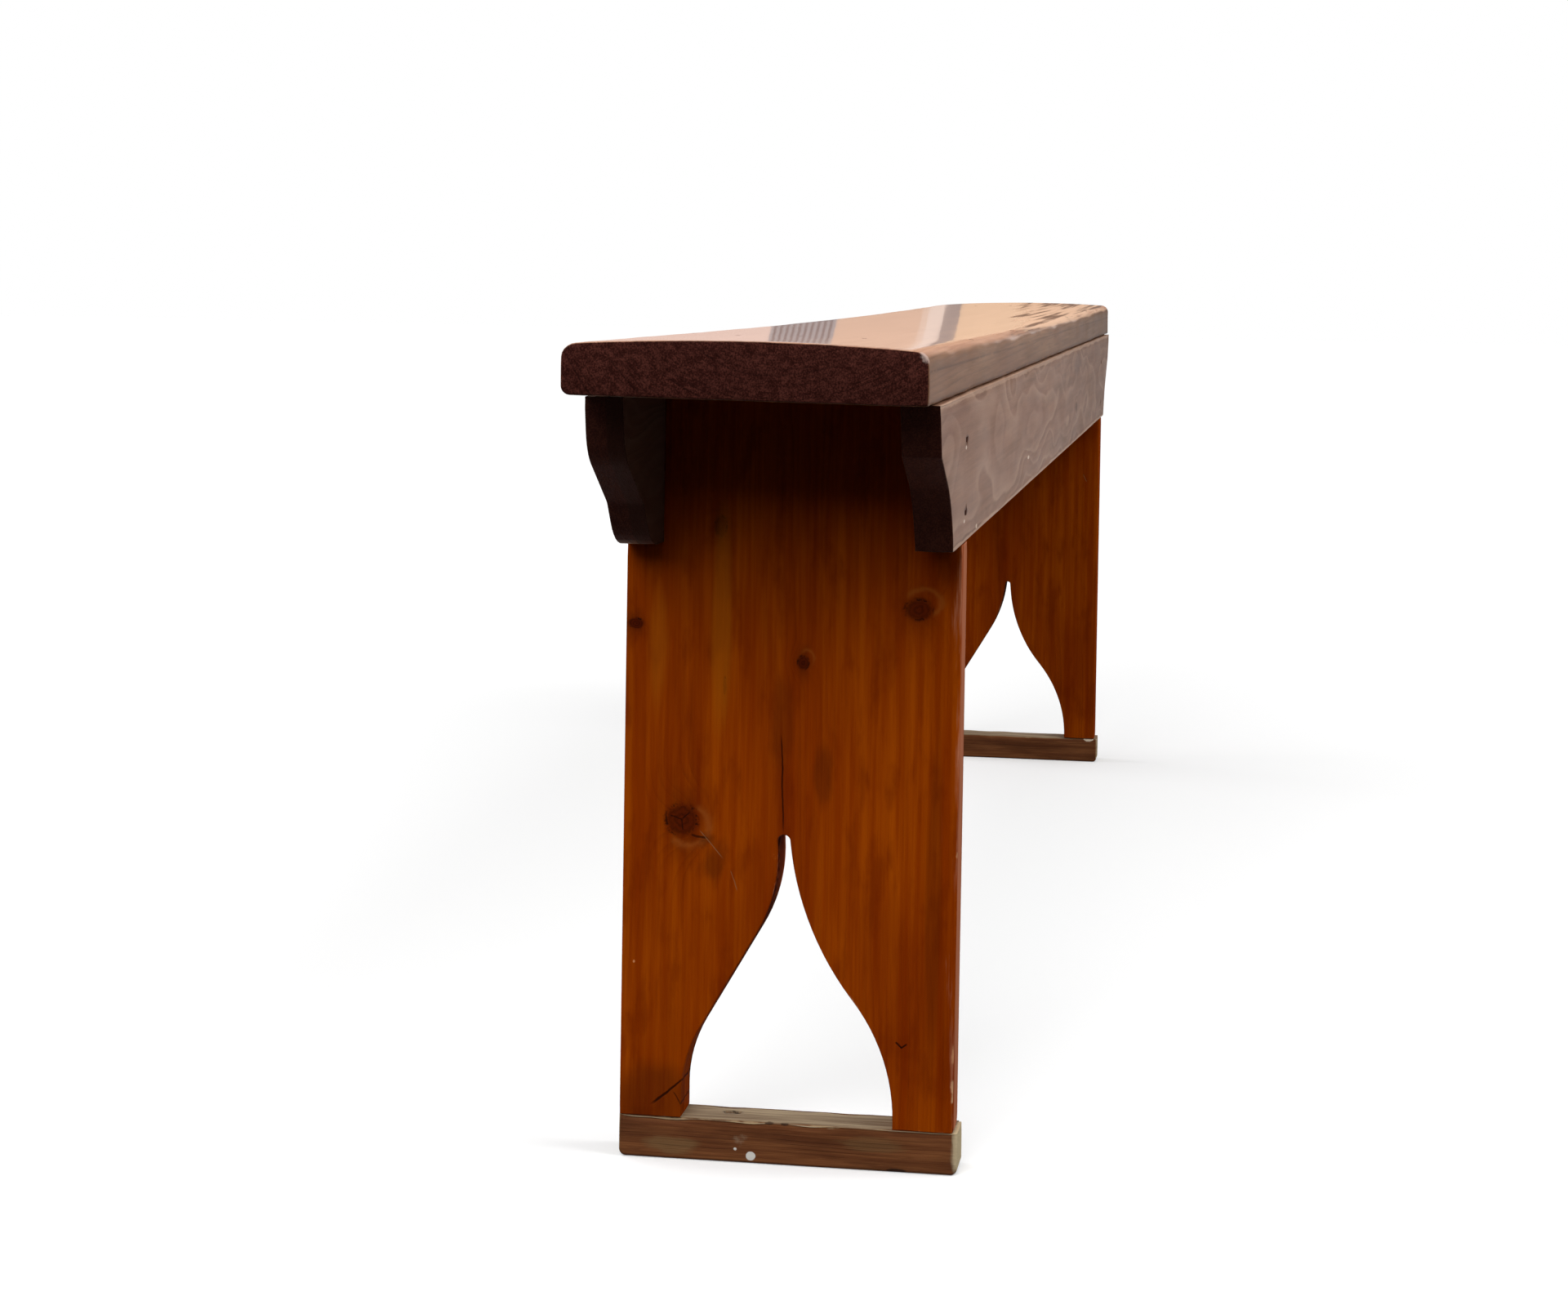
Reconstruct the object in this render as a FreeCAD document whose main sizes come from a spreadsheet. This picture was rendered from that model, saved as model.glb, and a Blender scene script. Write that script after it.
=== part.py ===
import FreeCAD, Part
import os
import Sketcher

# A boarded pine bench, long and narrow. A worn seat board lies on two upright leg
# boards and on two aprons that are housed in notches in the legs. Each leg is sawn
# out below as a tall ogee arch and stands on a cross piece. Everything is nailed.
#
# X runs along the bench, Y from the front apron to the back apron, Z up. The origin
# is on the floor, under the middle of the bench. All lengths are in millimetres.

# Driving dimensions. Heights are above the floor, "drop" is below the seat's underside,
# "reach" is along X past a leg's outer face, and "rise" is above the seat's underside.
DIMENSIONS = {
    "seat_length": 1800.0,
    "seat_width": 190.0,
    "seat_shift": 2.8,
    "seat_underside": 436.5,
    "seat_left_back_rise": 30.0,
    "seat_left_front_rise": 29.2,
    "seat_left_crown": 2.4,
    "seat_middle_back_rise": 26.0,
    "seat_middle_front_rise": 27.2,
    "seat_middle_crown": 1.6,
    "seat_right_back_rise": 28.6,
    "seat_right_front_rise": 31.0,
    "seat_right_crown": 2.6,
    "seat_back_top_radius": 8.0,
    "seat_front_top_radius": 7.0,
    "seat_back_bottom_radius": 5.0,
    "seat_front_bottom_radius": 1.5,
    "leg_span": 1477.0,
    "leg_width": 190.0,
    "leg_thickness": 28.5,
    "leg_arris_radius": 1.5,
    "left_arch_peak": 187.0,
    "left_arch_peak_radius": 3.3,
    "left_front_foot": 61.0,
    "left_front_low": 65.9,
    "left_front_waist": 6.2,
    "left_front_high": 134.4,
    "left_front_peak": 0.4,
    "left_front_low_radius": 107.0,
    "left_front_high_radius": 168.0,
    "left_back_foot": 59.5,
    "left_back_low": 57.8,
    "left_back_waist": 4.4,
    "left_back_high": 153.4,
    "left_back_peak": 6.5,
    "left_back_low_radius": 75.0,
    "left_back_high_radius": 88.0,
    "right_arch_peak": 183.0,
    "right_arch_peak_radius": 2.1,
    "right_front_foot": 64.3,
    "right_front_low": 67.2,
    "right_front_waist": 10.1,
    "right_front_high": 132.5,
    "right_front_peak": 5.8,
    "right_front_low_radius": 113.0,
    "right_front_high_radius": 134.0,
    "right_back_foot": 59.7,
    "right_back_low": 57.3,
    "right_back_waist": 2.1,
    "right_back_high": 153.1,
    "right_back_peak": -1.4,
    "right_back_low_radius": 61.0,
    "right_back_high_radius": 118.0,
    "apron_thickness": 21.0,
    "apron_arris_radius": 1.0,
    "front_apron_height": 83.0,
    "front_left_tip_reach": 131.0,
    "front_left_shoulder_reach": 120.0,
    "front_left_shoulder_drop": 27.5,
    "front_left_shoulder_radius": 3.0,
    "front_left_waist_reach": 63.5,
    "front_left_waist_drop": 55.0,
    "front_left_waist_radius": 76.0,
    "front_left_toe_reach": 51.0,
    "front_left_toe_radius": 1.5,
    "front_right_tip_reach": 130.0,
    "front_right_shoulder_reach": 112.0,
    "front_right_shoulder_drop": 25.0,
    "front_right_shoulder_radius": 14.0,
    "front_right_waist_reach": 58.0,
    "front_right_waist_drop": 57.0,
    "front_right_waist_radius": 60.0,
    "front_right_toe_reach": 40.0,
    "front_right_toe_radius": 3.0,
    "back_apron_height": 86.5,
    "back_left_tip_reach": 116.8,
    "back_left_shoulder_reach": 110.2,
    "back_left_shoulder_drop": 31.0,
    "back_left_shoulder_radius": 29.0,
    "back_left_waist_reach": 57.0,
    "back_left_waist_drop": 61.0,
    "back_left_waist_radius": 10.0,
    "back_left_toe_reach": 35.0,
    "back_left_toe_radius": 40.0,
    "back_right_tip_reach": 126.0,
    "back_right_shoulder_reach": 115.0,
    "back_right_shoulder_drop": 30.0,
    "back_right_shoulder_radius": 24.0,
    "back_right_waist_reach": 60.0,
    "back_right_waist_drop": 60.0,
    "back_right_waist_radius": 16.0,
    "back_right_toe_reach": 42.0,
    "back_right_toe_radius": 20.0,
    "foot_length": 193.0,
    "foot_height": 24.0,
    "foot_shift": 1.3,
    "foot_end_radius": 4.0,
    "foot_edge_radius": 2.0,
    "nail_thickness": 2.8,
    "nail_head_width": 6.4,
    "nail_head_height": 2.0,
    "nail_shank_width": 4.6,
    "nail_tip_width": 2.4,
    "nail_set": 1.0,
    "apron_nail_length": 50.0,
    "apron_nail_drop": 25.5,
    "apron_nail_spacing": 41.0,
    "seat_leg_nail_length": 60.0,
    "seat_leg_nail_rise": 28.0,
    "seat_leg_nail_spacing": 36.0,
    "seat_apron_nail_length": 50.0,
    "seat_apron_nail_rise": 25.2,
    "seat_apron_nail_spacing": 300.0,
    "foot_nail_length": 46.0,
    "foot_nail_inset": 9.5,
    "foot_nail_spacing": 16.0,
}

document = FreeCAD.newDocument("bench")
sheet = document.addObject("Spreadsheet::Sheet", "sheet")
for row, (alias, number) in enumerate(DIMENSIONS.items(), start=1):
    sheet.set(f"A{row}", alias)
    sheet.set(f"B{row}", str(number))
    sheet.setAlias(f"B{row}", alias)
document.recompute()


class Size:
    """A length that knows its value and the expression that drives it from the sheet."""

    def __init__(self, value, text):
        self.value = value
        self.text = text

    def join(self, other, sign, value):
        text = other.text if isinstance(other, Size) else repr(float(other))
        return Size(value, f"({self.text} {sign} {text})")

    def __add__(self, other):
        return self.join(other, "+", self.value + number_of(other))

    def __sub__(self, other):
        return self.join(other, "-", self.value - number_of(other))

    def __mul__(self, other):
        return self.join(other, "*", self.value * number_of(other))

    def __truediv__(self, other):
        return self.join(other, "/", self.value / number_of(other))

    def __neg__(self):
        return Size(-self.value, f"(0 - {self.text})")


def number_of(length):
    return length.value if isinstance(length, Size) else float(length)


def size(alias):
    return Size(float(DIMENSIONS[alias]), f"sheet.{alias}")


ZERO = Size(0.0, "0")


def drive(owner, setting, length):
    """Binds one property or named constraint of an object to the sheet."""
    owner.setExpression(setting, length.text)


def origin_feature(body, role):
    for feature in body.Origin.OriginFeatures:
        if feature.Role == role:
            return feature
    raise LookupError(role)


def new_body(label):
    body = document.addObject("PartDesign::Body", label)
    body.Label = label
    return body


def place(body, x=ZERO, y=ZERO, z=ZERO):
    """Puts a body's own origin at its place in the bench."""
    body.Placement.Base = FreeCAD.Vector(x.value, y.value, z.value)
    drive(body, ".Placement.Base.x", x)
    drive(body, ".Placement.Base.y", y)
    drive(body, ".Placement.Base.z", z)


def new_sketch(body, name, role, level=None):
    """A sketch on one of the body's own planes, or at a level above it."""
    sketch = body.newObject("Sketcher::SketchObject", name)
    sketch.AttachmentSupport = (origin_feature(body, role), [""])
    sketch.MapMode = "FlatFace"
    if level is not None:
        sketch.AttachmentOffset.Base.z = level.value
        drive(sketch, "AttachmentOffset.Base.z", level)
    return sketch


def fix_point(sketch, geometry, end, name, x, y):
    """Holds one end of a line or arc, or a centre, at a place that the sheet drives."""
    for kind, axis, length in (("DistanceX", "x", x), ("DistanceY", "y", y)):
        index = sketch.addConstraint(Sketcher.Constraint(kind, -1, 1, geometry, end, length.value))
        sketch.renameConstraint(index, f"{name}_{axis}")
        drive(sketch, f"Constraints.{name}_{axis}", length)


def draw_outline(sketch, corners):
    """A closed outline of straight lines through the corners."""
    points = [FreeCAD.Vector(x.value, y.value, 0) for x, y in corners]
    following = points[1:] + points[:1]
    lines = sketch.addGeometry([Part.LineSegment(a, b) for a, b in zip(points, following)], False)
    for line, after in zip(lines, list(lines[1:]) + [lines[0]]):
        sketch.addConstraint(Sketcher.Constraint("Coincident", line, 2, after, 1))
    for line, (x, y) in zip(lines, corners):
        fix_point(sketch, line, 1, f"corner{line}", x, y)


def pad(body, name, sketch, length, backwards=False, both_ways=False):
    feature = body.newObject("PartDesign::Pad", name)
    feature.Profile = sketch
    feature.Length = length.value
    feature.Reversed = backwards
    feature.Midplane = both_ways
    drive(feature, "Length", length)
    document.recompute()
    return feature


LEAST_CUT = 1.0


def pocket(body, name, sketch, depth=None):
    """Cuts a sketch into the body, to a depth shared by both sides, or right through.

    A cut that takes away less than the least volume, in cubic millimetres, has missed.
    """
    before = body.Tip.Shape.Volume
    feature = body.newObject("PartDesign::Pocket", name)
    feature.Profile = sketch
    feature.Midplane = True
    if depth is None:
        feature.Type = "ThroughAll"
    else:
        feature.Length = depth.value
        drive(feature, "Length", depth)
    document.recompute()
    if feature.Shape.Volume >= before - LEAST_CUT:
        raise ValueError(f"{body.Label}: {name} cuts nothing")
    return feature


SHORTEST_EDGE = 0.5
WIDEST_MISS = 0.1
NEARLY_PARALLEL = 0.999


def edges_through(shape, points, along):
    """The names of the straight edges parallel to one axis that pass nearest each point."""
    names = []
    for point in points:
        spot = Part.Vertex(*point)
        best = None
        for index, edge in enumerate(shape.Edges, start=1):
            ends = edge.valueAt(edge.FirstParameter), edge.valueAt(edge.LastParameter)
            run = ends[1].sub(ends[0])
            if run.Length < SHORTEST_EDGE or abs(run.normalize().dot(along)) < NEARLY_PARALLEL:
                continue
            gap = edge.distToShape(spot)[0]
            if best is None or gap < best[0]:
                best = (gap, f"Edge{index}")
        if best is None or best[0] > WIDEST_MISS:
            raise LookupError(f"no edge at {point}")
        names.append(best[1])
    return names


def round_edges(body, name, points, along, radius):
    """Rounds the straight edges through the given points of the body's own frame."""
    base = body.Tip
    feature = body.newObject("PartDesign::Fillet", name)
    feature.Base = (base, edges_through(base.Shape, points, along))
    feature.Radius = radius.value
    drive(feature, "Radius", radius)
    document.recompute()
    return feature


ALONG_X = FreeCAD.Vector(1, 0, 0)
ALONG_Y = FreeCAD.Vector(0, 1, 0)
ALONG_Z = FreeCAD.Vector(0, 0, 1)

side_signs = {"left": -1, "right": 1}
face_signs = {"front": -1, "back": 1}

# Where the pieces meet
leg_centre = size("leg_span") / 2 - size("leg_thickness") / 2
half_width = size("leg_width") / 2
half_tongue = half_width - size("apron_thickness")
apron_centre = half_width - size("apron_thickness") / 2


class NailRow:
    """Cut nails, stamped from plate, that share one board, one length and one direction.

    Their outlines lie in planes parallel to one of the origin's planes, at the given
    levels. Spots are the middles of their heads in that plane, as it is drawn. Way is +1
    where they point up the drawing and -1 where they point down it.
    """

    def __init__(self, label, role, levels, spots, way, length):
        self.label = label
        self.role = role
        self.levels = levels
        self.spots = spots
        self.way = way
        self.length = length

    def outline(self, x, y, punched):
        """One nail's outline, with the punched hole above its head if that is wanted."""
        head = size("nail_head_width") / 2
        shank = size("nail_shank_width") / 2
        tip = size("nail_tip_width") / 2
        top = y - size("nail_head_width") * self.way if punched else y
        neck = y + size("nail_head_height") * self.way
        end = y + self.length * self.way
        return [(x - head, top), (x + head, top), (x + head, neck), (x + shank, neck),
                (x + tip, end), (x - tip, end), (x - shank, neck), (x - head, neck)]

    def sketches(self, body, origin, punched=False):
        """The row's outlines, a sketch for each level, in a body whose own origin is given."""
        axes = {"XY_Plane": (0, 1, 2), "XZ_Plane": (0, 2, 1), "YZ_Plane": (1, 2, 0)}[self.role]
        across, up, normal = [origin[axis] for axis in axes]
        for count, level in enumerate(self.levels):
            # The drawing on the XZ plane faces -Y.
            depth = normal - level if self.role == "XZ_Plane" else level - normal
            sketch = new_sketch(body, f"{self.label}_{count}", self.role, depth)
            for x, y in self.spots:
                draw_outline(sketch, self.outline(x - across, y - up, punched))
            yield sketch

    def drive_into(self, body, origin, punched=False):
        """Cuts the holes that the nails fill in one board."""
        for sketch in self.sketches(body, origin, punched):
            pocket(body, f"{sketch.Label}_hole", sketch, size("nail_thickness"))

    def make(self):
        """The nails themselves, as one body of separate solids."""
        body = new_body(self.label)
        body.AllowCompound = True
        for sketch in self.sketches(body, (ZERO, ZERO, ZERO)):
            pad(body, f"{sketch.Label}_nail", sketch, size("nail_thickness"), both_ways=True)
        place(body)
        return body


def steps(count):
    """Whole or half steps, evenly about zero, for so many nails in a row."""
    return [step - (count - 1) / 2 for step in range(count)]


def apron_nails(side, face):
    """Two nails through an apron into a leg's edge."""
    way = -face_signs[face]
    upper = size("seat_underside") - size("apron_nail_drop")
    levels = [upper, upper - size("apron_nail_spacing")]
    spot = (leg_centre * side_signs[side], (size("nail_set") - half_width) * way)
    return NailRow(f"{face}_apron_{side}_nails", "XY_Plane", levels, [spot], way,
                   size("apron_nail_length"))


def seat_leg_nails(side):
    """Three nails through the seat into the end grain of a leg."""
    levels = [size("seat_leg_nail_spacing") * step for step in steps(3)]
    spot = (leg_centre * side_signs[side], size("seat_underside") + size("seat_leg_nail_rise"))
    return NailRow(f"seat_{side}_leg_nails", "XZ_Plane", levels, [spot], -1,
                   size("seat_leg_nail_length"))


def seat_apron_nails(face):
    """Five nails through the seat into the top edge of an apron."""
    height = size("seat_underside") + size("seat_apron_nail_rise")
    spots = [(size("seat_apron_nail_spacing") * step, height) for step in steps(5)]
    return NailRow(f"seat_{face}_apron_nails", "XZ_Plane", [apron_centre * face_signs[face]],
                   spots, -1, size("seat_apron_nail_length"))


def foot_nails(side):
    """Four nails up through a foot, two into each half of the leg above it."""
    outer = half_width - size("foot_nail_inset")
    inner = outer - size("foot_nail_spacing")
    spots = [(y, size("nail_set")) for y in (-outer, -inner, inner, outer)]
    return NailRow(f"{side}_foot_nails", "YZ_Plane", [leg_centre * side_signs[side]], spots, 1,
                   size("foot_nail_length"))


def corner_arc(start, centre, finish):
    """A quarter round between two points, bulging away from its centre."""
    radius = start.sub(centre).Length
    outward = start.add(finish).multiply(0.5).sub(centre).normalize().multiply(radius)
    return Part.Arc(start, centre.add(outward), finish)


def draw_seat_section(sketch, end):
    """The board's cross-section: flat below, crowned above, rounded at its four corners."""
    back = size("seat_width") / 2
    low_front = size("seat_front_bottom_radius")
    low_back = size("seat_back_bottom_radius")
    top_back = size("seat_back_top_radius")
    top_front = size("seat_front_top_radius")
    back_rise = size(f"seat_{end}_back_rise")
    front_rise = size(f"seat_{end}_front_rise")
    crown = size(f"seat_{end}_crown")
    crown_half = back - (top_back + top_front) / 2
    crown_radius = (crown_half * crown_half + crown * crown) / (crown * 2)
    corners = [
        (low_front - back, ZERO), (back - low_back, ZERO), (back, low_back),
        (back, back_rise - top_back), (back - top_back, back_rise),
        (top_front - back, front_rise), (-back, front_rise - top_front), (-back, low_front),
    ]
    points = [FreeCAD.Vector(x.value, y.value, 0) for x, y in corners]
    crest = points[4].add(points[5]).multiply(0.5).add(FreeCAD.Vector(0, crown.value, 0))
    inner = [FreeCAD.Vector(points[1].x, points[2].y, 0), FreeCAD.Vector(points[4].x, points[3].y, 0),
             FreeCAD.Vector(points[5].x, points[6].y, 0), FreeCAD.Vector(points[0].x, points[7].y, 0)]
    edges = sketch.addGeometry([
        Part.LineSegment(points[0], points[1]), corner_arc(points[1], inner[0], points[2]),
        Part.LineSegment(points[2], points[3]), corner_arc(points[3], inner[1], points[4]),
        Part.Arc(points[4], crest, points[5]), corner_arc(points[5], inner[2], points[6]),
        Part.LineSegment(points[6], points[7]), corner_arc(points[7], inner[3], points[0]),
    ], False)
    for edge, after in zip(edges, list(edges[1:]) + [edges[0]]):
        sketch.addConstraint(Sketcher.Constraint("Coincident", edge, 2, after, 1))
    for edge, (x, y) in zip(edges, corners):
        fix_point(sketch, edge, 1, f"corner{edge}", x, y)
    rounds = ((1, low_back), (3, top_back), (4, crown_radius), (5, top_front), (7, low_front))
    for edge, radius in rounds:
        index = sketch.addConstraint(Sketcher.Constraint("Radius", edges[edge], radius.value))
        sketch.renameConstraint(index, f"radius{edge}")
        drive(sketch, f"Constraints.radius{edge}", radius)


def make_seat():
    """One wide board, dished along its length by wear and crowned across its width."""
    body = new_body("seat_board")
    half = size("seat_length") / 2
    sections = []
    for end, level in (("left", -half), ("middle", ZERO), ("right", half)):
        sketch = new_sketch(body, f"{end}_section", "YZ_Plane", level)
        draw_seat_section(sketch, end)
        sections.append(sketch)
    document.recompute()
    board = body.newObject("PartDesign::AdditiveLoft", "board")
    board.Profile = sections[0]
    board.Sections = sections[1:]
    document.recompute()
    origin = (ZERO, size("seat_shift"), size("seat_underside"))
    for side in side_signs:
        seat_leg_nails(side).drive_into(body, origin, punched=True)
    for face in face_signs:
        seat_apron_nails(face).drive_into(body, origin, punched=True)
    place(body, *origin)
    return body


def make_leg(side):
    """A leg board: notched above for the aprons, sawn below as an ogee arch."""
    body = new_body(f"{side}_leg_board")
    floor = size("foot_height")
    height = size("seat_underside") - floor
    thickness = size("leg_thickness")
    front_notch = height - size("front_apron_height")
    back_notch = height - size("back_apron_height")
    outline = new_sketch(body, "board_outline", "YZ_Plane")
    draw_outline(outline, [
        (-half_width, ZERO), (half_width, ZERO),
        (half_width, back_notch), (half_tongue, back_notch),
        (half_tongue, height), (-half_tongue, height),
        (-half_tongue, front_notch), (-half_width, front_notch),
    ])
    pad(body, "board", outline, thickness)

    # The arch is drawn with sharp corners. Its saw-slot peak is a little off centre.
    peak = size(f"{side}_arch_peak") - floor
    front = {spot: -size(f"{side}_front_{spot}") for spot in ("foot", "waist", "peak")}
    back = {spot: size(f"{side}_back_{spot}") for spot in ("foot", "waist", "peak")}
    low = {face: size(f"{side}_{face}_low") - floor for face in ("front", "back")}
    high = {face: size(f"{side}_{face}_high") - floor for face in ("front", "back")}
    arch = new_sketch(body, "arch_outline", "YZ_Plane")
    draw_outline(arch, [
        (front["foot"], -floor / 2), (back["foot"], -floor / 2),
        (back["foot"], low["back"]), (back["waist"], high["back"]), (back["peak"], peak),
        (front["peak"], peak), (front["waist"], high["front"]), (front["foot"], low["front"]),
    ])
    pocket(body, "arch", arch)

    # Each side of the arch is then eased into an ogee by two large roundings.
    middle = thickness.value / 2
    for face, spots in (("front", front), ("back", back)):
        low_corner = (middle, spots["foot"].value, low[face].value)
        high_corner = (middle, spots["waist"].value, high[face].value)
        round_edges(body, f"{face}_low_curve", [low_corner], ALONG_X, size(f"{side}_{face}_low_radius"))
        round_edges(body, f"{face}_high_curve", [high_corner], ALONG_X, size(f"{side}_{face}_high_radius"))
    peak_corners = [(middle, spots["peak"].value, peak.value) for spots in (front, back)]
    round_edges(body, "peak_curve", peak_corners, ALONG_X, size(f"{side}_arch_peak_radius"))
    outer = [(x_edge, y_edge, low["front"].value) for x_edge in (0.0, thickness.value)
             for y_edge in (-half_width.value, half_width.value)]
    round_edges(body, "upright_arrises", outer, ALONG_Z, size("leg_arris_radius"))

    origin = (leg_centre * side_signs[side] - thickness / 2, ZERO, floor)
    for face in face_signs:
        apron_nails(side, face).drive_into(body, origin)
    seat_leg_nails(side).drive_into(body, origin)
    foot_nails(side).drive_into(body, origin)
    place(body, *origin)
    return body


def make_apron(side):
    """A long board on edge, with each end sawn to a bracket shape by hand."""
    body = new_body(f"{side}_apron")
    height = size(f"{side}_apron_height")
    half_span = size("leg_span") / 2
    face_sign = face_signs[side]

    def end_corners(end, sign):
        def reach(spot):
            return (half_span + size(f"{side}_{end}_{spot}_reach")) * sign

        def level(spot):
            return height - size(f"{side}_{end}_{spot}_drop")

        return [(reach("toe"), ZERO), (reach("waist"), level("waist")),
                (reach("shoulder"), level("shoulder")), (reach("tip"), height)]

    right = end_corners("right", 1)
    left = end_corners("left", -1)
    outline = new_sketch(body, "board_outline", "XZ_Plane")
    draw_outline(outline, right + left[::-1])
    thickness = size("apron_thickness")
    pad(body, "board", outline, thickness, backwards=face_sign > 0)
    middle = thickness.value / 2 * face_sign
    for end, corners in (("right", right), ("left", left)):
        for spot, (x, z) in zip(("toe", "waist", "shoulder"), corners):
            round_edges(body, f"{end}_{spot}_curve", [(x.value, middle, z.value)], ALONG_Y,
                        size(f"{side}_{end}_{spot}_radius"))
    outer_face = thickness.value * face_sign
    round_edges(body, "lower_arris", [(0.0, outer_face, 0.0)], ALONG_X, size("apron_arris_radius"))

    origin = (ZERO, half_tongue * face_sign, size("seat_underside") - height)
    for end in side_signs:
        apron_nails(end, side).drive_into(body, origin, punched=True)
    seat_apron_nails(side).drive_into(body, origin)
    place(body, *origin)
    return body


def make_foot(side):
    """The cross piece that a leg stands on, as thick as the leg board."""
    body = new_body(f"{side}_foot")
    height = size("foot_height")
    thickness = size("leg_thickness")
    half = size("foot_length") / 2
    outline = new_sketch(body, "foot_outline", "YZ_Plane")
    draw_outline(outline, [(-half, ZERO), (half, ZERO), (half, height), (-half, height)])
    pad(body, "block", outline, thickness)
    middle = thickness.value / 2
    ends = [(middle, -half.value, 0.0), (middle, half.value, 0.0)]
    round_edges(body, "end_curves", ends, ALONG_X, size("foot_end_radius"))
    uprights = [(x_edge, y_edge, height.value / 2) for x_edge in (0.0, thickness.value)
                for y_edge in (-half.value, half.value)]
    round_edges(body, "end_arrises", uprights, ALONG_Z, size("foot_edge_radius"))
    origin = (leg_centre * side_signs[side] - thickness / 2, -size("foot_shift"), ZERO)
    foot_nails(side).drive_into(body, origin, punched=True)
    place(body, *origin)
    return body


parts = [make_seat()]
for side in side_signs:
    parts.append(make_leg(side))
    parts.append(make_foot(side))
    parts.append(seat_leg_nails(side).make())
    parts.append(foot_nails(side).make())
for face in face_signs:
    parts.append(make_apron(face))
    parts.append(seat_apron_nails(face).make())
    for side in side_signs:
        parts.append(apron_nails(side, face).make())

document.recompute()
for item in document.Objects:
    if "Invalid" in item.State or "Error" in item.State:
        raise RuntimeError(f"{item.Label} did not recompute: {item.State}")
for body in parts:
    if body.Shape.isNull() or not body.Shape.isValid():
        raise RuntimeError(f"{body.Label} has no valid shape")

os.makedirs("parts", exist_ok=True)
for body in parts:
    body.Shape.exportStep(f"parts/{body.Label}.step")
    box = body.Shape.BoundBox
    print(f"{body.Label}: {len(body.Shape.Solids)} solids, {body.Shape.Volume / 1000:.1f} cm3,",
          f"x {box.XMin:.1f} to {box.XMax:.1f}, y {box.YMin:.1f} to {box.YMax:.1f},",
          f"z {box.ZMin:.1f} to {box.ZMax:.1f}")
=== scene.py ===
# %% [markdown]
# # A boarded pine bench
# The real bench is seven boards of pine and thirty-two cut nails. A long seat lies on two
# aprons and two leg boards, and each leg stands on a cross piece. It is old, stained
# and varnished, and worn where people sit and where boots scrape. The construction is already
# settled in the frame that is loaded here. This script gives the boards their worn edges,
# their grain and their finish, and it leaves the overall size as it is, to a fifth of a
# millimetre.

# %% Load the frame
import math

import bpy
import numpy as np
from mathutils import Matrix, Vector, noise
from mathutils.kdtree import KDTree


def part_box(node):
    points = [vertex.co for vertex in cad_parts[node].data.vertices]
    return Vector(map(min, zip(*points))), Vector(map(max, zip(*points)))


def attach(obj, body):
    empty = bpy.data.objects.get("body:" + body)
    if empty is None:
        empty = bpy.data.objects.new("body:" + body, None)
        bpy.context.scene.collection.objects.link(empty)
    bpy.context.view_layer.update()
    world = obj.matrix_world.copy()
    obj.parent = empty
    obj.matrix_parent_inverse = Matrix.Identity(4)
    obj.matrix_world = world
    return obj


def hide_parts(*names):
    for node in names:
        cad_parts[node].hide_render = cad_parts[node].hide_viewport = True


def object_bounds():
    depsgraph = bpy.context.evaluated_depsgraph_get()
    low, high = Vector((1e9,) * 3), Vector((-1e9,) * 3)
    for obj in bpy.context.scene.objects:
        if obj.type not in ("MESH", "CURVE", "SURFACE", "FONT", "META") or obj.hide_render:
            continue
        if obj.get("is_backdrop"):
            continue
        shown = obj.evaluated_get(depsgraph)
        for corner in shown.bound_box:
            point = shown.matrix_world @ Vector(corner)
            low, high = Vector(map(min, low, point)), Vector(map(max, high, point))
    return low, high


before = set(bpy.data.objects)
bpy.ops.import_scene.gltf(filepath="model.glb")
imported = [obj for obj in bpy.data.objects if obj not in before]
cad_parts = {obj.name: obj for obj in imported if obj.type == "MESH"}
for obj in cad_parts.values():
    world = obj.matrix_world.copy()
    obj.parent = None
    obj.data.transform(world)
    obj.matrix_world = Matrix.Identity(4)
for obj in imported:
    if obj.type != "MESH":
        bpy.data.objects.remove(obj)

MM = 0.001
cad_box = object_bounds()
print("nodes:", sorted(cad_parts))
print("frame box:", [[round(value, 4) for value in corner] for corner in cad_box])

# %% [markdown]
# ## The camera
# The photographer crouched at the left end of the bench, a little in front of it, with the
# lens just above the seat. The place and the angles were solved from the edges and corners of
# the boards, in the photograph's own pixels. The upright edges stay parallel in the photograph, so the
# picture is shifted down and not turned down, as a view camera's would be.

# %% Camera
IMAGE_WIDTH = 1920
IMAGE_HEIGHT = 1609
FOCAL_LENGTH_PX = 3727.1
OPTICAL_AXIS_HEIGHT_PX = 435.4
CAMERA_PLACE = (-2.4181, -0.2555, 0.5084)
CAMERA_YAW = 0.1551
CAMERA_PITCH = 0.0306
CAMERA_ROLL = 0.0159
SENSOR_WIDTH = 36.0

forward = Vector((math.cos(CAMERA_PITCH) * math.cos(CAMERA_YAW),
                  math.cos(CAMERA_PITCH) * math.sin(CAMERA_YAW),
                  -math.sin(CAMERA_PITCH)))
level_right = Vector((math.sin(CAMERA_YAW), -math.cos(CAMERA_YAW), 0.0))
level_up = level_right.cross(forward)
camera_right = level_right * math.cos(CAMERA_ROLL) + level_up * math.sin(CAMERA_ROLL)
camera_up = level_up * math.cos(CAMERA_ROLL) - level_right * math.sin(CAMERA_ROLL)
turn = Matrix((camera_right, camera_up, -forward)).transposed()

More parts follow.
